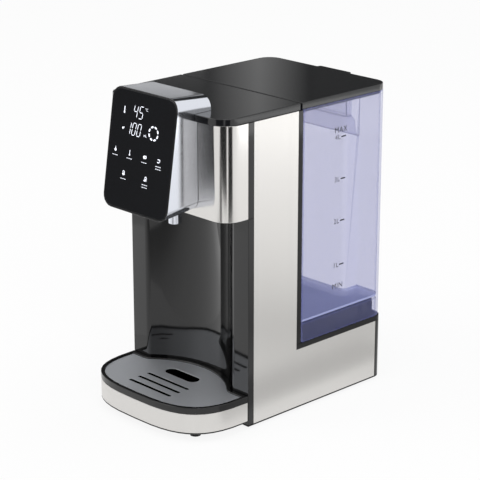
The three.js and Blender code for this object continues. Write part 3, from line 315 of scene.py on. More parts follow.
def tinted_copolyester(name, colour, face_on, edge_on):
    # Clear copolyester with a lilac tint, injection moulded: one wall is nearly clear, and each
    # more that the eye looks through, or a wall seen edge-on, turns it a deeper lilac.
    # face_on and edge_on are the shares of its body that show in those two views.
    material, tree = start(name)
    place = add(tree, "ShaderNodeTexCoord").outputs["Object"]
    flow = noise(tree, FLOW_SPACING, SOFT_DETAIL, place)
    tint = mottle(tree, colour, FLOW_DARKEST, flow)
    gloss = add(
        tree, "ShaderNodeMapRange", {"To Min": 0.04, "To Max": 0.1}, {"Value": flow})
    ripple = add(
        tree, "ShaderNodeBump", {"Strength": 0.06, "Distance": 0.04 * MM}, {"Height": flow})
    body = add(
        tree, "ShaderNodeBsdfPrincipled", {"IOR": 1.57, "Coat Weight": 0.5}, {
            "Base Color": tint, "Roughness": gloss.outputs["Result"],
            "Normal": ripple.outputs["Normal"]})
    facing = add(tree, "ShaderNodeLayerWeight", {"Blend": 0.5})
    steep = add(
        tree, "ShaderNodeMath", {1: TINT_POWER}, {0: facing.outputs["Facing"]},
        operation="POWER")
    share = add(
        tree, "ShaderNodeMapRange", {"To Min": face_on, "To Max": edge_on},
        {"Value": steep.outputs[0]})
    clear = add(tree, "ShaderNodeBsdfTransparent", {"Color": opaque(colours().tank_clear)})
    wall = add(tree, "ShaderNodeMixShader", None, {
        0: share.outputs["Result"], 1: clear.outputs[0], 2: body.outputs[0]})
    add(tree, "ShaderNodeOutputMaterial", None, {"Surface": wall.outputs[0]})
    return material


def printed_ink():
    # Pad-printed ink: a dull thin film, a little uneven
    return noise_driven(
        "Pad printed ink", colours().ink, (2, 0.8), (0.5, 0.01, 0.2),
        {"Roughness": (0.5, 0.65)})


def lit_figures():
    # Light from a diode behind a clear window in the black print
    figure = colours().figure
    return noise_driven(
        "Lit figures", figure, (3, 0.9), (2, 0.005, 0.05),
        {"Roughness": (0.3, 0.4), "Emission Color": opaque(figure), "Emission Strength": 0.75})


def moulded_rubber():
    # Black rubber: very dull, with a faint bloom
    return noise_driven(
        "Moulded rubber", colours().rubber, (6, 0.8), (0.8, 0.04, 0.4),
        {"Roughness": (0.75, 0.9)})


def food_silicone():
    # Milky silicone: soft sheen, light passes a little way into it
    return noise_driven(
        "Food silicone", colours().silicone, (12, 0.93), (1.5, 0.03, 0.2),
        {"Roughness": (0.4, 0.55), "IOR": 1.42, "Subsurface Weight": 0.15,
         "Subsurface Scale": 2 * MM})


def ivory_polypropylene():
    # Uncoloured polypropylene: waxy, with slow tone changes
    return noise_driven(
        "Ivory polypropylene", colours().ivory, (14, 0.92), (0.9, 0.03, 0.25),
        {"Roughness": (0.38, 0.5), "IOR": 1.49})


def drawn_steel():
    # Drawn steel tube and sheet: dull, with the marks of the draw
    return noise_driven(
        "Drawn steel", colours().steel, (9, 0.85), (0.8, 0.03, 0.3),
        {"Roughness": (0.3, 0.45), "Metallic": 1.0})


def circuit_laminate():
    # Glass-fibre laminate under green solder resist, with its weave showing through
    return noise_driven(
        "Circuit laminate", colours().laminate, (4, 0.7), (0.9, 0.03, 0.3),
        {"Roughness": (0.3, 0.5), "IOR": 1.5})


# The belt's scratches are drawn out along the height or the width
GRAIN_STRETCH = 0.02
ALONG_HEIGHT = (1, 1, GRAIN_STRETCH)
ALONG_WIDTH = (GRAIN_STRETCH, 1, 1)

FINISHES = {
    "matte_black": satin_abs,
    "gloss_black": lambda: polished_abs("Polished ABS", 0.5),
    "trim_black": lambda: polished_abs("Polished ABS trim", 0.3),
    "upright_steel": lambda: brushed_stainless(
        "Brushed stainless upright", colours().stainless, ALONG_HEIGHT, (0.2, 0.3)),
    "wrap_steel": lambda: brushed_stainless(
        "Brushed stainless wrap", colours().stainless, ALONG_HEIGHT, (0.11, 0.17)),
    "band_steel": lambda: brushed_stainless(
        "Brushed stainless band", colours().stainless, ALONG_WIDTH, (0.28, 0.38)),
    "plate_steel": lambda: brushed_stainless(
        "Brushed stainless plate", colours().plate, ALONG_WIDTH, (0.42, 0.56)),
    "chrome": chrome_plate,
    "dark_glass": black_backed_glass,
    "clear_lilac": lambda: tinted_copolyester(
        "Tinted copolyester", colours().tank, 0.06, 0.6),
    # Denser, lighter lilac for the tank's floor and the foot of its walls: the fillet's thicker
    # plastic, with painted light for its bright band and for the light on the floor
    "lilac_bend_lit": lambda: tinted_copolyester(
        "Tinted copolyester bend with painted light", colours().tank_bend_lit, 0.75, 0.95),
    "lilac_rim": lambda: tinted_copolyester(
        "Tinted copolyester rim", colours().tank_rim, 0.4, 0.8),
    "ink": printed_ink,
    "figures": lit_figures,
    "rubber": moulded_rubber,
    "silicone": food_silicone,
    "ivory_plastic": ivory_polypropylene,
    "inner_steel": drawn_steel,
    "board": circuit_laminate,
}

# Slots of the finishes that share one with another finish
made_finishes = {}


def finish(name):
    if name not in made_finishes:
        made_finishes[name] = FINISHES[name]()
    return made_finishes[name]


# Meshes

def only(piece):
    bpy.ops.object.select_all(action="DESELECT")
    piece.select_set(True)
    bpy.context.view_layer.objects.active = piece


def edit(piece):
    only(piece)
    bpy.ops.object.mode_set(mode="EDIT")


def leave():
    bpy.ops.object.mode_set(mode="OBJECT")


def apply_modifier(piece, kind, **settings):
    only(piece)
    modifier = piece.modifiers.new(kind.title(), kind)
    for key, value in settings.items():
        setattr(modifier, key, value)
    bpy.ops.object.modifier_apply(modifier=modifier.name)


def shade(piece):
    """Smooths a piece, with its normals weighted towards the large faces."""
    only(piece)
    bpy.ops.object.shade_smooth_by_angle(angle=SMOOTH_ANGLE)
    apply_modifier(piece, "WEIGHTED_NORMAL", keep_sharp=True, weight=FACE_WEIGHT)


def round_edges(piece, radius, segments=3, **settings):
    apply_modifier(
        piece, "BEVEL", width=radius, segments=segments, limit_method="ANGLE",
        angle_limit=EDGE_ANGLE, use_clamp_overlap=False, miter_outer="MITER_ARC", **settings)


def settle(piece, body, finish_name):
    """Puts a finished piece's place into its mesh, dresses it and lets it ride on its body."""
    only(piece)
    bpy.ops.object.transform_apply(location=True, rotation=True, scale=True)
    if not piece.data.materials:
        piece.data.materials.append(None)
    piece.data.materials[0] = finish(finish_name)
    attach(piece, body)


def flat_region(first):
    """The faces round the first one that lie in its plane."""
    region = {first}
    edge_of_region = [first]
    while edge_of_region:
        for edge in edge_of_region.pop().edges:
            if len(edge.link_faces) == 2 and edge.calc_face_angle() < FLAT_ANGLE:
                fresh = set(edge.link_faces) - region
                region |= fresh
                edge_of_region += fresh
    return region


def pick_unpierced(piece):
    """Selects, in edit mode, the faces of flat regions that have no hole in them."""
    bpy.ops.mesh.select_mode(type="FACE")
    bpy.ops.mesh.select_all(action="DESELECT")
    mesh = bmesh.from_edit_mesh(piece.data)
    left = set(mesh.faces)
    while left:
        region = flat_region(next(iter(left)))
        left -= region
        edges = {edge for face in region for edge in face.edges}
        verts = {vert for face in region for vert in face.verts}
        if len(verts) - len(edges) + len(region) == 1:
            for face in region:
                face.select_set(True)
    bmesh.update_edit_mesh(piece.data)


def shell_of(node, name):
    """A clean copy of a CAD node: doubles merged and flat faces made whole."""
    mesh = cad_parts[node].data.copy()
    mesh.name = name
    piece = bpy.data.objects.new(name, mesh)
    bpy.context.scene.collection.objects.link(piece)
    edit(piece)
    bpy.ops.mesh.select_all(action="SELECT")
    bpy.ops.mesh.customdata_custom_splitnormals_clear()
    bpy.ops.mesh.remove_doubles(threshold=MERGE)
    pick_unpierced(piece)
    bpy.ops.mesh.dissolve_limited(angle_limit=FLAT_ANGLE)
    bpy.ops.mesh.select_all(action="SELECT")
    bpy.ops.mesh.tris_convert_to_quads(face_threshold=FLAT_ANGLE, shape_threshold=math.pi)
    leave()
    return piece


def stand_in(piece, node, body, finish_name, radius, segments=3):
    """Softens a shell and stands it in for its CAD node."""
    round_edges(piece, radius, segments)
    shade(piece)
    settle(piece, body, finish_name)
    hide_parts(node)
    return piece


def soften(node, kind, body, finish_name, radius, segments=3):
    """Stands a softened shell of that kind in for a CAD node."""
    piece = shell_of(node, f"{node}_{kind}")
    return stand_in(piece, node, body, finish_name, radius, segments)


def dress(node, finish_name):
    """Gives a CAD node that keeps its shape its finish."""
    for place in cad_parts[node].material_slots:
        place.material = finish(finish_name)


def joined(pieces, name):
    bpy.ops.object.select_all(action="DESELECT")
    for piece in pieces:
        piece.select_set(True)
    bpy.context.view_layer.objects.active = pieces[0]
    bpy.ops.object.join()
    pieces[0].name = name
    pieces[0].data.name = name
    return pieces[0]


def pattern(name):
    """A new piece with a copy of a mesh that is modelled once for all pieces of its kind."""
    if name not in made_patterns:
        bpy.ops.object.select_all(action="DESELECT")
        PATTERNS[name]()
        first = bpy.context.active_object
        made_patterns[name] = first.data
        bpy.data.objects.remove(first)
    piece = bpy.data.objects.new(name, made_patterns[name].copy())
    bpy.context.scene.collection.objects.link(piece)
    return piece


class PieceOperator:
    """What the operators that build pieces share"""

    bl_options = {"REGISTER", "UNDO"}

    def execute(self, context):
        self.build()
        return {"FINISHED"}


class DISPENSER_OT_covers(PieceOperator, bpy.types.Operator):
    """Front cover and tank lid with softened edges"""

    bl_idname = "dispenser.covers"
    bl_label = "Cover and Lid"

    def build(self):
        edge = sizes().cover_edge
        soften("front_cover", "shell", "housing", "matte_black", edge)
        lid = shell_of("tank_lid", "tank_lid_shell")
        front = min(vert.co.y for vert in lid.data.vertices)
        for vert in lid.data.vertices:
            if vert.co.y < front + MERGE:
                vert.co.y += sizes().seam
        stand_in(lid, "tank_lid", "lid", "matte_black", edge)


class DISPENSER_OT_steel_skins(PieceOperator, bpy.types.Operator):
    """Brushed side panels and the wrap round the upper front"""

    bl_idname = "dispenser.steel_skins"
    bl_label = "Steel Skins"

    def build(self):
        edge = sizes().steel_edge
        for node in ("side_panel_left", "side_panel_right"):
            soften(node, "skin", "housing", "upright_steel", edge, 2)
        soften("front_panel", "skin", "housing", "wrap_steel", edge, 2)


class DISPENSER_OT_body(PieceOperator, bpy.types.Operator):
    """Black mouldings of the body: column, housing, partition, deck, rear panel and base pan"""

    bl_idname = "dispenser.body"
    bl_label = "Black Body"

    def build(self):
        edge = sizes().body_edge
        soften("front_column", "shell", "housing", "gloss_black", edge)
        soften("upper_housing", "shell", "housing", "gloss_black", edge / 2, 2)
        for node in ("partition_wall", "tank_deck"):
            soften(node, "shell", "housing", "trim_black", edge, 2)
        for node in ("rear_base_panel", "base_pan"):
            soften(node, "shell", "housing", "trim_black", edge / 2, 2)


# The glass leans back by this angle
GLASS_TILT = math.radians(8.6)

# The mouth of the sleeve is trimmed in black, with a material slot of its own, where its faces
# turn this far to the front
MOUTH_SHARE = 0.2
MOUTH_SLOT = 1


def glass_normal():
    return Vector((0, -math.cos(GLASS_TILT), math.sin(GLASS_TILT)))


class DISPENSER_OT_head(PieceOperator, bpy.types.Operator):
    """Chrome sleeve, touch glass and the rear cap of the head"""

    bl_idname = "dispenser.head"
    bl_label = "Head"

    def build(self):
        sleeve = soften("head_sleeve", "shell", "housing", "chrome", sizes().sleeve_edge)
        sleeve.data.materials.append(finish("gloss_black"))
        outward = glass_normal()
        for face in sleeve.data.polygons:
            if face.normal.dot(outward) > MOUTH_SHARE:
                face.material_index = MOUTH_SLOT
        soften("touch_glass", "plate", "housing", "dark_glass", sizes().glass_edge)
        soften("head_rear_cap", "shell", "housing", "matte_black", sizes().body_edge, 2)


# Figures are drawn flat, in (across, up) mm from the middle of the glass's lower front edge
FIGURE_PROUD = 0.03
FIGURE_SLANT = math.tan(math.radians(9))


def on_glass(piece):
    """Moves a piece drawn flat on to the face of the glass."""
    normal = glass_normal()
    upward = Vector((0, math.sin(GLASS_TILT), math.cos(GLASS_TILT)))
    reach = glass_high - glass_low
    height = (reach.z * upward.z - reach.y * upward.y) / math.cos(2 * GLASS_TILT)
    foot = Vector((0, glass_low.y, glass_high.z - height * upward.z))
    foot += normal * FIGURE_PROUD * MM
    lay = Matrix((
        (MM, 0, 0, foot.x), (0, upward.y * MM, normal.y * MM, foot.y),
        (0, upward.z * MM, normal.z * MM, foot.z), (0, 0, 0, 1)))
    piece.data.transform(lay)


SIGN_STROKE = 0.75
STRIP_CORNERS = 6
DISC_SIDES = 16
HOOP_RADIUS = 1.3
HOOP_SIDES = 20
HOOP_STROKE_SIDES = 6
LETTER_CURVE_STEPS = 3


def make_strip():
    """A flat bar of length and breadth one, with pointed ends."""
    bpy.ops.mesh.primitive_cylinder_add(
        vertices=STRIP_CORNERS, radius=0.5, depth=FIGURE_PROUD)
    for vert in bpy.context.active_object.data.vertices:
        across = math.copysign(0.5, vert.co.x) if abs(vert.co.x) > MERGE else 0
        vert.co.x, vert.co.y = vert.co.y, across


def make_disc():
    """A flat disc of radius one, its first corner upward."""
    bpy.ops.mesh.primitive_cylinder_add(vertices=DISC_SIDES, radius=1, depth=FIGURE_PROUD)


def make_hoop():
    """A flat ring."""
    bpy.ops.mesh.primitive_torus_add(
        major_radius=HOOP_RADIUS, minor_radius=SIGN_STROKE / 2, major_segments=HOOP_SIDES,
        minor_segments=HOOP_STROKE_SIDES)
    bpy.context.active_object.data.transform(
        Matrix.Diagonal((1, 1, FIGURE_PROUD / SIGN_STROKE, 1)))


def bar(across, up, length, breadth, turn=0.0):
    """A flat bar with pointed ends, lying across unless it is turned."""
    piece = pattern("strip")
    for vert in piece.data.vertices:
        vert.co.y *= breadth
        vert.co.x = math.copysign(length / 2 - abs(vert.co.y), vert.co.x)
    piece.data.transform(Matrix.Translation((across, up, 0)) @ Matrix.Rotation(turn, 4, "Z"))
    return piece


def dot(across, up, radius, tip=0.0):
    """A flat disc, which may be pulled to a tip."""
    piece = pattern("disc")
    for vert in piece.data.vertices:
        if vert.co.y > 1 - MERGE:
            vert.co.y += tip / radius
    piece.data.transform(
        Matrix.Translation((across, up, 0)) @ Matrix.Diagonal((radius, radius, 1, 1)))
    return piece


def hoop(across, up):
    piece = pattern("hoop")
    piece.data.transform(Matrix.Translation((across, up, 0)))
    return piece


def words(text, across, up, height, spacing=1.0):
    """Flat text, made a mesh, with its middle at that place."""
    bpy.ops.object.select_all(action="DESELECT")
    bpy.ops.object.text_add()
    piece = bpy.context.active_object
    piece.data.body = text
    piece.data.align_x = "CENTER"
    piece.data.align_y = "CENTER"
    piece.data.size = height
    piece.data.resolution_u = LETTER_CURVE_STEPS
    piece.data.extrude = FIGURE_PROUD / 2
    piece.data.space_character = spacing
    bpy.ops.object.convert(target="MESH")
    piece = bpy.context.active_object
    piece.data.transform(Matrix.Translation((across, up, 0)))
    return piece


# Seven strokes of a figure, each as its middle in (across, up) shares and whether it stands
STROKES = {
    "top": (0, 1, False), "upper_left": (-0.5, 0.5, True), "upper_right": (0.5, 0.5, True),
    "middle": (0, 0, False), "lower_left": (-0.5, -0.5, True),
    "lower_right": (0.5, -0.5, True), "bottom": (0, -1, False),
}
LIT_STROKES = {
    "0": ("top", "upper_left", "upper_right", "lower_left", "lower_right", "bottom"),
    "1": ("upper_right", "lower_right"),
    "4": ("upper_left", "upper_right", "middle", "lower_right"),
    "5": ("top", "upper_left", "middle", "lower_right", "bottom"),
}

FIGURE_STROKE = 0.72
STROKE_GAP = 1.3


def figures(text, left, up, breadth, height, pitch):
    """Slanted seven-stroke figures, as one list of bars."""
    bars = []
    for place, sign in enumerate(text):
        middle = left + pitch * place + breadth / 2
        for lit in LIT_STROKES[sign]:
            across, above, stands = STROKES[lit]
            length = (height / 2 if stands else breadth) - FIGURE_STROKE * STROKE_GAP
            piece = bar(
                across * breadth, above * height / 2, length, FIGURE_STROKE,
                UPRIGHT if stands else 0)
            slant = Matrix.Identity(4)
            slant[0][1] = FIGURE_SLANT
            piece.data.transform(Matrix.Translation((middle, up, 0)) @ slant)
            bars.append(piece)
    return bars


# Each number: its text, left end, middle height, a figure's breadth and height, and the step
# from one figure to the next
NUMBERS = (
    ("45", -14.6, 102.4, 5.2, 12.6, 8.4),
    ("100", -22.6, 84.1, 5.0, 12.6, 7.8),
)

# Each unit: its text, middle and height
UNITS = (("°C", 4.2, 106.6, 3.9), ("mL", 5.4, 80.4, 3.9))

# Marks: what each is, its middle and its measures: a bar's length, breadth and turn, or a dot's
# radius and tip. These stand before the numbers: a thermometer and a cup.
NUMBER_SIGNS = (
    (bar, -29.2, 102.4, 6.2, 1.1, UPRIGHT), (dot, -29.2, 99, 1.1),
    (bar, -29.3, 82.6, 3, 2.2), (bar, -27.6, 83.4, 1.6, SIGN_STROKE, math.pi / 3),
)

# Dial ring: its dashes have a length and a breadth
RING_CENTRE = (17.6, 84.9)
RING_RADIUS = 6.7
RING_DASHES = 8
RING_DASH = (4.1, 1.8)

# Labels of the keys: lines of plain dashes
LABEL_DROP = 5.3
LABEL_LINE = 2.7
LABEL_DASH = 2.3
LABEL_PITCH = 2.9
LABEL_STROKE = 0.6

TOP_KEYS = 58.4
LOW_KEYS = 36.0

# Each key: its middle, how many lines its label has, and the marks of its sign, with their
# middles counted from the key's
KEYS = {
    "drop": (-37.6, TOP_KEYS, 1, ((dot, 0, 0, 1.5, 2.4),)),
    "heat": (-15.3, TOP_KEYS, 1, (
        (bar, 0, 1.2, 5, SIGN_STROKE, UPRIGHT), (dot, 0, -1.4, 0.9))),
    "cup": (7.4, TOP_KEYS, 1, ((dot, 0, 0.4, 1.7), (hoop, 1.9, 0.6))),
    "pour": (29.3, TOP_KEYS, 2, (
        (bar, 0, 2, 4, SIGN_STROKE), (bar, 1.7, 0.6, 2.6, SIGN_STROKE, UPRIGHT),
        (bar, -0.6, -1, 3.2, 1.05))),
    "lock": (-21.8, LOW_KEYS, 1, ((hoop, 0, 1.6), (bar, 0, -0.4, 4, 2.4))),
    "flow": (11.6, LOW_KEYS, 2, (
        (hoop, 0.9, 1.9), (bar, -0.4, -0.6, 3.4, 1.6),
        (bar, 1.9, -0.4, 2, SIGN_STROKE, UPRIGHT))),
}


def key_pieces():
    """The signs of the six touch keys, with their labels under them."""
    pieces = []
    for across, up, _, marks in KEYS.values():
        for make, aside, above, *measures in marks:
            pieces.append(make(across + aside, up + above, *measures))
    for across, up, lines, _ in KEYS.values():
        for line in range(lines):
            for place in (-1, 0, 1):
                pieces.append(bar(
                    across + place * LABEL_PITCH, up - LABEL_DROP - line * LABEL_LINE,
                    LABEL_DASH, LABEL_STROKE))
    return pieces


class DISPENSER_OT_lit_figures(PieceOperator, bpy.types.Operator):
    """Figures, units, dial ring and key signs that shine through the touch glass"""

    bl_idname = "dispenser.lit_figures"
    bl_label = "Lit Figures"

    def build(self):
        pieces = []
        for number in NUMBERS:
            pieces += figures(*number)
        pieces += [words(*unit) for unit in UNITS]
        pieces += [make(*measures) for make, *measures in NUMBER_SIGNS]
        for dash in range(RING_DASHES):
            angle = math.tau * (dash + 0.5) / RING_DASHES
            pieces.append(bar(
                RING_CENTRE[0] + RING_RADIUS * math.cos(angle),
                RING_CENTRE[1] + RING_RADIUS * math.sin(angle), *RING_DASH, angle + UPRIGHT))
        pieces += key_pieces()
        piece = joined(pieces, "lit_figures")
        on_glass(piece)
        settle(piece, "housing", "figures")


# Walls of the tank run higher than this, in mm, and its rims don't
WALL_HEIGHT = 60

# Faces turned this far to a front corner show as its line
CORNER_SHARE = 0.93

# Place of the tank's floor among the levels of its corners, counted from below
FLOOR_LEVEL = 2
LEVEL_DIGITS = 5

# Material slots of the tank's shell: the floor's slot holds the lighter lilac of painted light
WALL_SLOT, LIT_FLOOR_SLOT, RIM_SLOT = range(3)


class DISPENSER_OT_water_tank(PieceOperator, bpy.types.Operator):
    """Clear tank with softened edges, a denser floor and wall foot in a lighter lilac of painted
    light, and darker rims
    """

    bl_idname = "dispenser.water_tank"
    bl_label = "Water Tank"

    def build(self):
        piece = shell_of("water_tank", "water_tank_shell")
        for name in ("lilac_bend_lit", "lilac_rim"):
            piece.data.materials.append(finish(name))
        levels = {round(vert.co.z, LEVEL_DIGITS) for vert in piece.data.vertices}
        floor = sorted(levels)[FLOOR_LEVEL]
        band = floor + sizes().tank_lit_band
        edit(piece)
        bpy.ops.mesh.select_all(action="SELECT")
        bpy.ops.mesh.bisect(plane_co=(0, 0, band), plane_no=(0, 0, 1))
        leave()
        round_edges(piece, sizes().tank_edge, 2, material=RIM_SLOT)
        corner = Vector((1, -1, 0)).normalized()
        valve_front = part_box("valve_body")[0].y
        for face in piece.data.polygons:
            heights = [piece.data.vertices[index].co.z for index in face.vertices]
            if abs(face.normal.dot(corner)) > CORNER_SHARE and face.center.y < valve_front:
                face.material_index = RIM_SLOT
            elif max(heights) - min(heights) > WALL_HEIGHT * MM:
                face.material_index = WALL_SLOT
            # The floor and the foot of the walls take the lighter lilac of painted light
            elif min(heights) > floor - MERGE and max(heights) < band + MERGE:
                face.material_index = LIT_FLOOR_SLOT
        shade(piece)
        settle(piece, "tank", "clear_lilac")
        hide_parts("water_tank")


# Water marks on the tank's right wall: depth back from the tank's front and height, in mm
MARK_PROUD = 0.02
TICK_DEPTH = 61.2
TICK_LENGTH = 7.6
TICK_BREADTH = 1.5
LITRE_LEVELS = {"4L": 295.1, "3L": 248.8, "2L": 202.0, "1L": 152.2}
LITRE_DEPTH = 52.2
LITRE_SIZE = 7.9
LEVEL_WORDS = {"MAX": (57.0, 302.8), "MIN": (55.4, 128.3)}
WORD_SIZE = 8.6
WORD_SPACING = 1.12


class DISPENSER_OT_water_marks(PieceOperator, bpy.types.Operator):
    """Litre marks printed on the tank's right wall"""

    bl_idname = "dispenser.water_marks"
    bl_label = "Water Marks"

    def build(self):
        pieces = []
        for text, level in LITRE_LEVELS.items():
            pieces.append(bar(TICK_DEPTH, level, TICK_LENGTH, TICK_BREADTH))
            pieces.append(words(text, LITRE_DEPTH, level, LITRE_SIZE, WORD_SPACING))
        for text, (depth, level) in LEVEL_WORDS.items():
            pieces.append(words(text, depth, level, WORD_SIZE, WORD_SPACING))
        piece = joined(pieces, "water_marks")
        wall = Matrix((
            (0, 0, MM, half_width + MARK_PROUD * MM), (MM, 0, 0, tank_front),
            (0, MM, 0, 0), (0, 0, 0, 1)))
        piece.data.transform(wall)
        settle(piece, "tank", "ink")


class DISPENSER_OT_tank_fittings(PieceOperator, bpy.types.Operator):
    """Tank valve with its filter cap, and the socket that it drops into"""

    bl_idname = "dispenser.tank_fittings"
    bl_label = "Tank Fittings"

    def build(self):
        edge = sizes().steel_edge
        for node in ("valve_body", "filter_cap"):
            soften(node, "shell", "tank", "ivory_plastic", edge, 2)
        soften("inlet_socket", "shell", "housing", "ivory_plastic", edge, 2)
        dress("valve_plunger", "ivory_plastic")
        dress("valve_seal", "silicone")
        dress("valve_spring", "inner_steel")
        dress("inlet_seal", "silicone")


class DISPENSER_OT_drip_tray(PieceOperator, bpy.types.Operator):
    """Drip tray with its band, plate and feet"""

    bl_idname = "dispenser.drip_tray"
    bl_label = "Drip Tray"

    def build(self):
        edge = sizes().steel_edge
        soften("drip_tray", "shell", "tray", "gloss_black", sizes().tray_edge / 2)
        soften("tray_band", "strip", "tray", "band_steel", edge, 2)
        sheet = shell_of("drip_plate", "drip_plate_sheet")
        top = max(vert.co.z for vert in sheet.data.vertices)
        for vert in sheet.data.vertices:
            if vert.co.z < top - MERGE:
                vert.co.z = top - sizes().plate_sheet
        stand_in(sheet, "drip_plate", "plate", "plate_steel", sizes().plate_sheet / 3, 2)
        for side in ("left", "right"):
            soften(f"tray_foot_{side}", "pad", "tray", "rubber", sizes().rubber_edge, 2)


class DISPENSER_OT_nozzle(PieceOperator, bpy.types.Operator):
    """Nozzle, its holder and the silicone insert"""

    bl_idname = "dispenser.nozzle"
    bl_label = "Nozzle"

    def build(self):
        soften("nozzle", "tube", "housing", "chrome", sizes().body_edge / 2)
        soften("nozzle_holder", "shell", "housing", "matte_black", sizes().steel_edge, 2)
        dress("nozzle_insert", "silicone")


class DISPENSER_OT_feet(PieceOperator, bpy.types.Operator):
    """Rubber feet and the mains gland"""

    bl_idname = "dispenser.feet"
    bl_label = "Feet"

    def build(self):
        for end in ("front", "rear"):
            for side in ("left", "right"):
                soften(
                    f"foot_{end}_{side}", "pad", "housing", "rubber", sizes().rubber_edge / 2, 2)
        soften("mains_gland", "ring", "housing", "rubber", sizes().steel_edge, 2)


# Screw heads: sides and rings of the ball that they are cut from, then as shares of its radius
# the dome's depth, the seat's height, and length, breadth and depth of an arm of the cross
SCREW_SIDES = 20
SCREW_RINGS = 10
SCREW_DOME = 0.3
SCREW_SEAT = 0.1
CROSS_ARM = (1.1, 0.22, 0.34)

# From the middle of each foot inward to its screw, in head radii
SCREW_STEP = 5


def make_screw():
    """Head of a cross-head screw, its face down."""
    radius = sizes().screw_radius
    bpy.ops.mesh.primitive_uv_sphere_add(
        segments=SCREW_SIDES, ring_count=SCREW_RINGS, radius=radius, scale=(1, 1, SCREW_DOME))
    head = bpy.context.active_object
    bpy.ops.object.transform_apply(location=True, rotation=True, scale=True)
    edit(head)
    bpy.ops.mesh.select_all(action="SELECT")
    bpy.ops.mesh.bisect(
        plane_co=(0, 0, radius * SCREW_SEAT), plane_no=(0, 0, 1), use_fill=True,
        clear_outer=True)
    leave()
    for turn in (0, UPRIGHT):
        bpy.ops.object.select_all(action="DESELECT")
        bpy.ops.mesh.primitive_cube_add(
            size=1, location=(0, 0, -radius * SCREW_DOME), rotation=(0, 0, turn),
            scale=[radius * share for share in CROSS_ARM])
        cutter = bpy.context.active_object
        apply_modifier(head, "BOOLEAN", operation="DIFFERENCE", object=cutter, solver="EXACT")
        bpy.data.objects.remove(cutter)
    only(head)


PATTERNS = {"strip": make_strip, "disc": make_disc, "hoop": make_hoop, "screw": make_screw}
made_patterns = {}


class DISPENSER_OT_base_screws(PieceOperator, bpy.types.Operator):
    """Four cross-head screws that close the base from below"""

    bl_idname = "dispenser.base_screws"
    bl_label = "Base Screws"

    def build(self):
        pieces = []
        for end in ("front", "rear"):
            for side in ("left", "right"):
                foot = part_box(f"foot_{end}_{side}")
                middle = (foot[0] + foot[1]) / 2
                inward = math.copysign(sizes().screw_radius * SCREW_STEP, -middle.x)
                screw = pattern("screw")
                screw.data.transform(
                    Matrix.Translation((middle.x + inward, middle.y, pan_foot)))
                pieces.append(screw)
        piece = joined(pieces, "base_screws")
        shade(piece)
        settle(piece, "housing", "inner_steel")


# Finishes of the pieces inside, which keep their shape
WORKS = {
    "head_carrier": "matte_black", "display_board": "board", "head_arm_left": "matte_black",
    "head_arm_right": "matte_black", "pump_body": "ivory_plastic",
    "pump_cover": "ivory_plastic", "pump_impeller": "ivory_plastic",
    "pump_motor": "inner_steel", "pump_cradle": "rubber", "meter_body": "ivory_plastic",
    "meter_wheel": "matte_black", "meter_cap": "matte_black", "heater_tube": "inner_steel",
    "heater_cap_lower": "ivory_plastic", "heater_cap_upper": "ivory_plastic",
    "heater_bracket": "inner_steel", "thermal_cutout": "matte_black",
    "temperature_sensor": "inner_steel", "power_board": "board", "control_board": "board",
    "hose_tank_to_pump": "silicone", "hose_pump_to_meter": "silicone",
    "hose_meter_to_heater": "silicone", "hose_heater_to_nozzle": "silicone",
}


class DISPENSER_OT_works(PieceOperator, bpy.types.Operator):
    """Finishes of the pump, meter, heater, boards and hoses inside"""

    bl_idname = "dispenser.works"
    bl_label = "Inner Works"

    def build(self):
        for node, finish_name in WORKS.items():
            dress(node, finish_name)


# Stage

# Floor: breadth in m, drop below the feet in mm, and spacing and depth of its mottling
FLOOR_SIZE = 14.0
FLOOR_DROP = 0.2
FLOOR_SPACING = 300
FLOOR_DARKEST = 0.98

# Lamps: place, breadth and power
LAMPS = {
    "key": ((-0.9, -1.3, 1.7), 1.1, 9.0),
    "fill": ((1.7, -0.9, 1.1), 1.3, 7.0),
    "top": ((0.2, 0.5, 2.1), 1.2, 7.0),
}

# Standing reflection cards: middle, the point that each faces, width and height, and how
# bright it is at even steps from its left end to its right
CARDS = {
    "card_glass": ((-0.85, -1.02, 0.17), (0, -0.13, 0.3), (0.5, 0.34), (0.14, 0.22)),
    "card_roof": ((-1.44, 1.388, 1.02), (0, 0, 0.34), (2.6, 1.9), (0.05, 0.08)),
    "card_sheen": ((-0.62, 0.645, 0.63), (0, 0, 0.34), (0.17, 0.5), (0.03, 0.42, 0.03)),
    "card_crown": ((-1.465, 1.218, 0.64), (0, -0.1, 0.36), (0.28, 0.15), (0.62, 0.6)),
    "card_edge": ((-0.21, 0.41, 0.9), (0.048, -0.12, 0.355), (0.36, 0.5), (0.02, 0.02)),
    "card_dark_right": (
        (0.578, -0.293, 0.2), (0.506, -0.224, 0.2), (0.26, 0.28), (0.02, 0.02)),
    "card_dark_high": (
        (0.291, -0.592, 0.235), (0.219, -0.523, 0.235), (0.411, 0.27), (0.02, 0.02)),
    "card_dark_low": (
        (0.169, -0.718, 0.065), (0.097, -0.649, 0.065), (0.2, 0.13), (0.2, 0.2)),
}

# Cards that lie on the floor: middle, turn in degrees, width and length, and brightness as above
FLOOR_CARDS = {
    "card_dark_floor": ((0.334, -0.414, 0.001), -44, (0.12, 0.08), (0.8, 0.25, 0.05)),
    "card_side": (
        (0.47, 0.37, 0.001), 44, (1.26, 1.8), (0.95, 0.9, 0.64, 0.88, 1.02, 1.05, 1.09, 1.12)),
    "card_skirt": ((0.16, 0.06, 0.0015), 0, (0.09, 0.3), (0.95, 0.6, 0.55, 0.6, 0.85)),
    "card_side_far": ((1.02, 0.9, 0.001), 44, (0.25, 1.8), (2.4, 2.4)),
    "card_front": (
        (-0.179, -0.434, 0.001), 145, (0.8, 0.42), (0.3, 0.45, 0.75, 0.92, 1.0, 1.1, 1.3, 2.0)),
}


def aim(thing, place, target):
    """Puts a lamp, a card or the camera at a place and turns it to its target."""
    thing.location = place
    thing.rotation_mode = "QUATERNION"
    thing.rotation_quaternion = (Vector(target) - Vector(place)).to_track_quat("-Z", "Y")


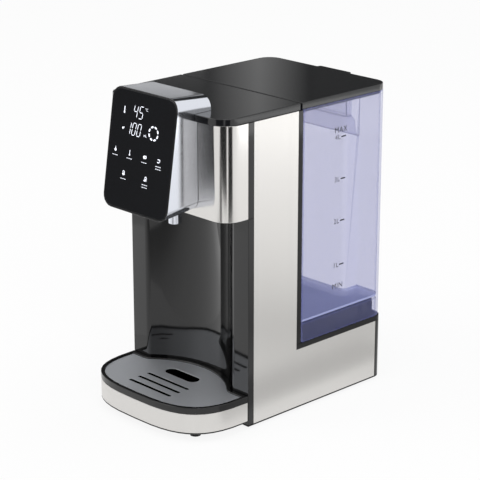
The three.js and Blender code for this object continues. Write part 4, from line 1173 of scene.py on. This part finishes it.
def seen_share(tree, share):
    """A factor that is that share for rays that are seen, straight or in metal and glass."""
    path = add(tree, "ShaderNodeLightPath")
    either = add(
        tree, "ShaderNodeMath", None,
        {0: path.outputs["Is Camera Ray"], 1: path.outputs["Is Glossy Ray"]},
        operation="MAXIMUM")
    any_seen = add(
        tree, "ShaderNodeMath", None,
        {0: either.outputs[0], 1: path.outputs["Is Transmission Ray"]}, operation="MAXIMUM")
    return add(
        tree, "ShaderNodeMath", {1: share}, {0: any_seen.outputs[0]},
        operation="MULTIPLY").outputs[0]


def studio_floor(glow):
    # Painted board, whitened where it is seen so that it meets the background
    material, tree = start("Studio floor")
    place = add(tree, "ShaderNodeTexCoord").outputs["Object"]
    cloud = noise(tree, FLOOR_SPACING, SOFT_DETAIL, place)
    tint = mottle(tree, colours().floor, FLOOR_DARKEST, cloud)
    matte = add(tree, "ShaderNodeBsdfDiffuse", {"Roughness": 0.5}, {"Color": tint})
    white = add(tree, "ShaderNodeEmission", {"Color": (1, 1, 1, 1), "Strength": 1.0})
    mixed = add(tree, "ShaderNodeMixShader", None, {
        0: seen_share(tree, glow), 1: matte.outputs[0], 2: white.outputs[0]})
    add(tree, "ShaderNodeOutputMaterial", None, {"Surface": mixed.outputs[0]})
    return material


def card_paint(name, width, brightness):
    # Grey card, shaded from its left end to its right
    material, tree = start(name)
    place = add(tree, "ShaderNodeTexCoord")
    across = add(
        tree, "ShaderNodeSeparateXYZ", None, {"Vector": place.outputs["Object"]})
    along = add(
        tree, "ShaderNodeMapRange", {"From Min": -width / 2, "From Max": width / 2},
        {"Value": across.outputs["X"]})
    ramp = add(tree, "ShaderNodeValToRGB", None, {"Fac": along.outputs["Result"]})
    brightest = max(brightness)
    stops = ramp.color_ramp.elements
    last = len(brightness) - 1
    for step in range(1, last):
        stops.new(step / last)
    for stop, value in zip(stops, brightness):
        stop.color = opaque((value / brightest,) * 3)
    glow = add(
        tree, "ShaderNodeEmission", {"Strength": brightest}, {"Color": ramp.outputs["Color"]})
    add(tree, "ShaderNodeOutputMaterial", None, {"Surface": glow.outputs[0]})
    return material


def new_card(name, width, height, brightness):
    """A card at the origin that only reflections see."""
    bpy.ops.object.select_all(action="DESELECT")
    bpy.ops.mesh.primitive_plane_add(size=1)
    card = bpy.context.active_object
    card.name = name
    card.data.transform(
        Matrix.Rotation(math.pi, 4, "Y") @ Matrix.Diagonal((width, height, 1, 1)))
    card.data.materials.append(card_paint(name, width, brightness))
    card.visible_camera = False
    card.visible_diffuse = False
    card.visible_shadow = False
    card.visible_transmission = False
    return card


def set_world(daylight):
    world = bpy.data.worlds.new("Studio light")
    world.use_nodes = True
    tree = world.node_tree
    tree.nodes.clear()
    seen = seen_share(tree, 1.0)
    strength = add(
        tree, "ShaderNodeMapRange", {"To Min": daylight, "To Max": 1.0}, {"Value": seen})
    light = add(
        tree, "ShaderNodeBackground", {"Color": (1, 1, 1, 1)},
        {"Strength": strength.outputs["Result"]})
    add(tree, "ShaderNodeOutputWorld", None, {"Surface": light.outputs[0]})
    bpy.context.scene.world = world


class DISPENSER_OT_stage(PieceOperator, bpy.types.Operator):
    """Pale floor, soft lamps, reflection cards and the camera"""

    bl_idname = "dispenser.stage"
    bl_label = "Stage"

    def build(self):
        scene = bpy.context.scene
        stage = scene.dispenser_stage
        bpy.ops.object.select_all(action="DESELECT")
        bpy.ops.mesh.primitive_plane_add(size=FLOOR_SIZE, location=(0, 0, -FLOOR_DROP * MM))
        floor = bpy.context.active_object
        floor.name = "studio_floor"
        floor.data.materials.append(studio_floor(stage.floor_glow))
        middle = (cad_low + cad_high) / 2
        for name, (place, size, power) in LAMPS.items():
            lamp = bpy.data.objects.new(f"lamp_{name}", bpy.data.lights.new(name, "AREA"))
            scene.collection.objects.link(lamp)
            lamp.data.shape = "DISK"
            lamp.data.size = size
            lamp.data.energy = power
            aim(lamp, place, middle)
        for name, (place, facing, extent, brightness) in CARDS.items():
            card = new_card(name, *extent, brightness)
            aim(card, place, facing)
        for name, (place, turn, extent, brightness) in FLOOR_CARDS.items():
            card = new_card(name, *extent, brightness)
            card.location = place
            card.rotation_euler.z = math.radians(turn)
        camera = bpy.data.objects.new("camera", bpy.data.cameras.new("camera"))
        scene.collection.objects.link(camera)
        camera.data.lens = stage.lens
        back = Vector((
            math.sin(stage.azimuth) * math.cos(stage.elevation),
            -math.cos(stage.azimuth) * math.cos(stage.elevation), math.sin(stage.elevation)))
        target = Vector(stage.target)
        aim(camera, target + back * stage.distance, target)
        scene.camera = camera
        scene.view_settings.view_transform = "Standard"
        set_world(stage.daylight)


OPERATORS = (
    DISPENSER_OT_stage, DISPENSER_OT_covers, DISPENSER_OT_steel_skins, DISPENSER_OT_body,
    DISPENSER_OT_head, DISPENSER_OT_lit_figures, DISPENSER_OT_water_tank,
    DISPENSER_OT_water_marks, DISPENSER_OT_tank_fittings, DISPENSER_OT_drip_tray,
    DISPENSER_OT_nozzle, DISPENSER_OT_feet, DISPENSER_OT_base_screws, DISPENSER_OT_works,
)


class DISPENSER_PT_panel(bpy.types.Panel):
    """Sidebar panel that lists the sizes, the colours and the operators"""

    bl_idname = "DISPENSER_PT_panel"
    bl_label = "Hot Water Dispenser"
    bl_space_type = "VIEW_3D"
    bl_region_type = "UI"
    bl_category = "Dispenser"

    def draw(self, context):
        for group in GROUPS:
            values = getattr(context.scene, group)
            box = self.layout.box()
            for name in values.bl_rna.properties.keys():
                if name not in ("rna_type", "name"):
                    box.prop(values, name)
        for operator in OPERATORS:
            self.layout.operator(operator.bl_idname)


GROUPS = {
    "dispenser_sizes": DispenserSizes,
    "dispenser_colours": DispenserColours,
    "dispenser_stage": DispenserStage,
}


def register():
    for name, group in GROUPS.items():
        bpy.utils.register_class(group)
        setattr(bpy.types.Scene, name, bpy.props.PointerProperty(type=group))
    for operator in OPERATORS:
        bpy.utils.register_class(operator)
    bpy.utils.register_class(DISPENSER_PT_panel)


def unregister():
    bpy.utils.unregister_class(DISPENSER_PT_panel)
    for operator in reversed(OPERATORS):
        bpy.utils.unregister_class(operator)
    for name, group in reversed(GROUPS.items()):
        delattr(bpy.types.Scene, name)
        bpy.utils.unregister_class(group)


def main():
    register()
    for operator in OPERATORS:
        family, name = operator.bl_idname.split(".")
        getattr(getattr(bpy.ops, family), name)()


if __name__ == "__main__":
    main()
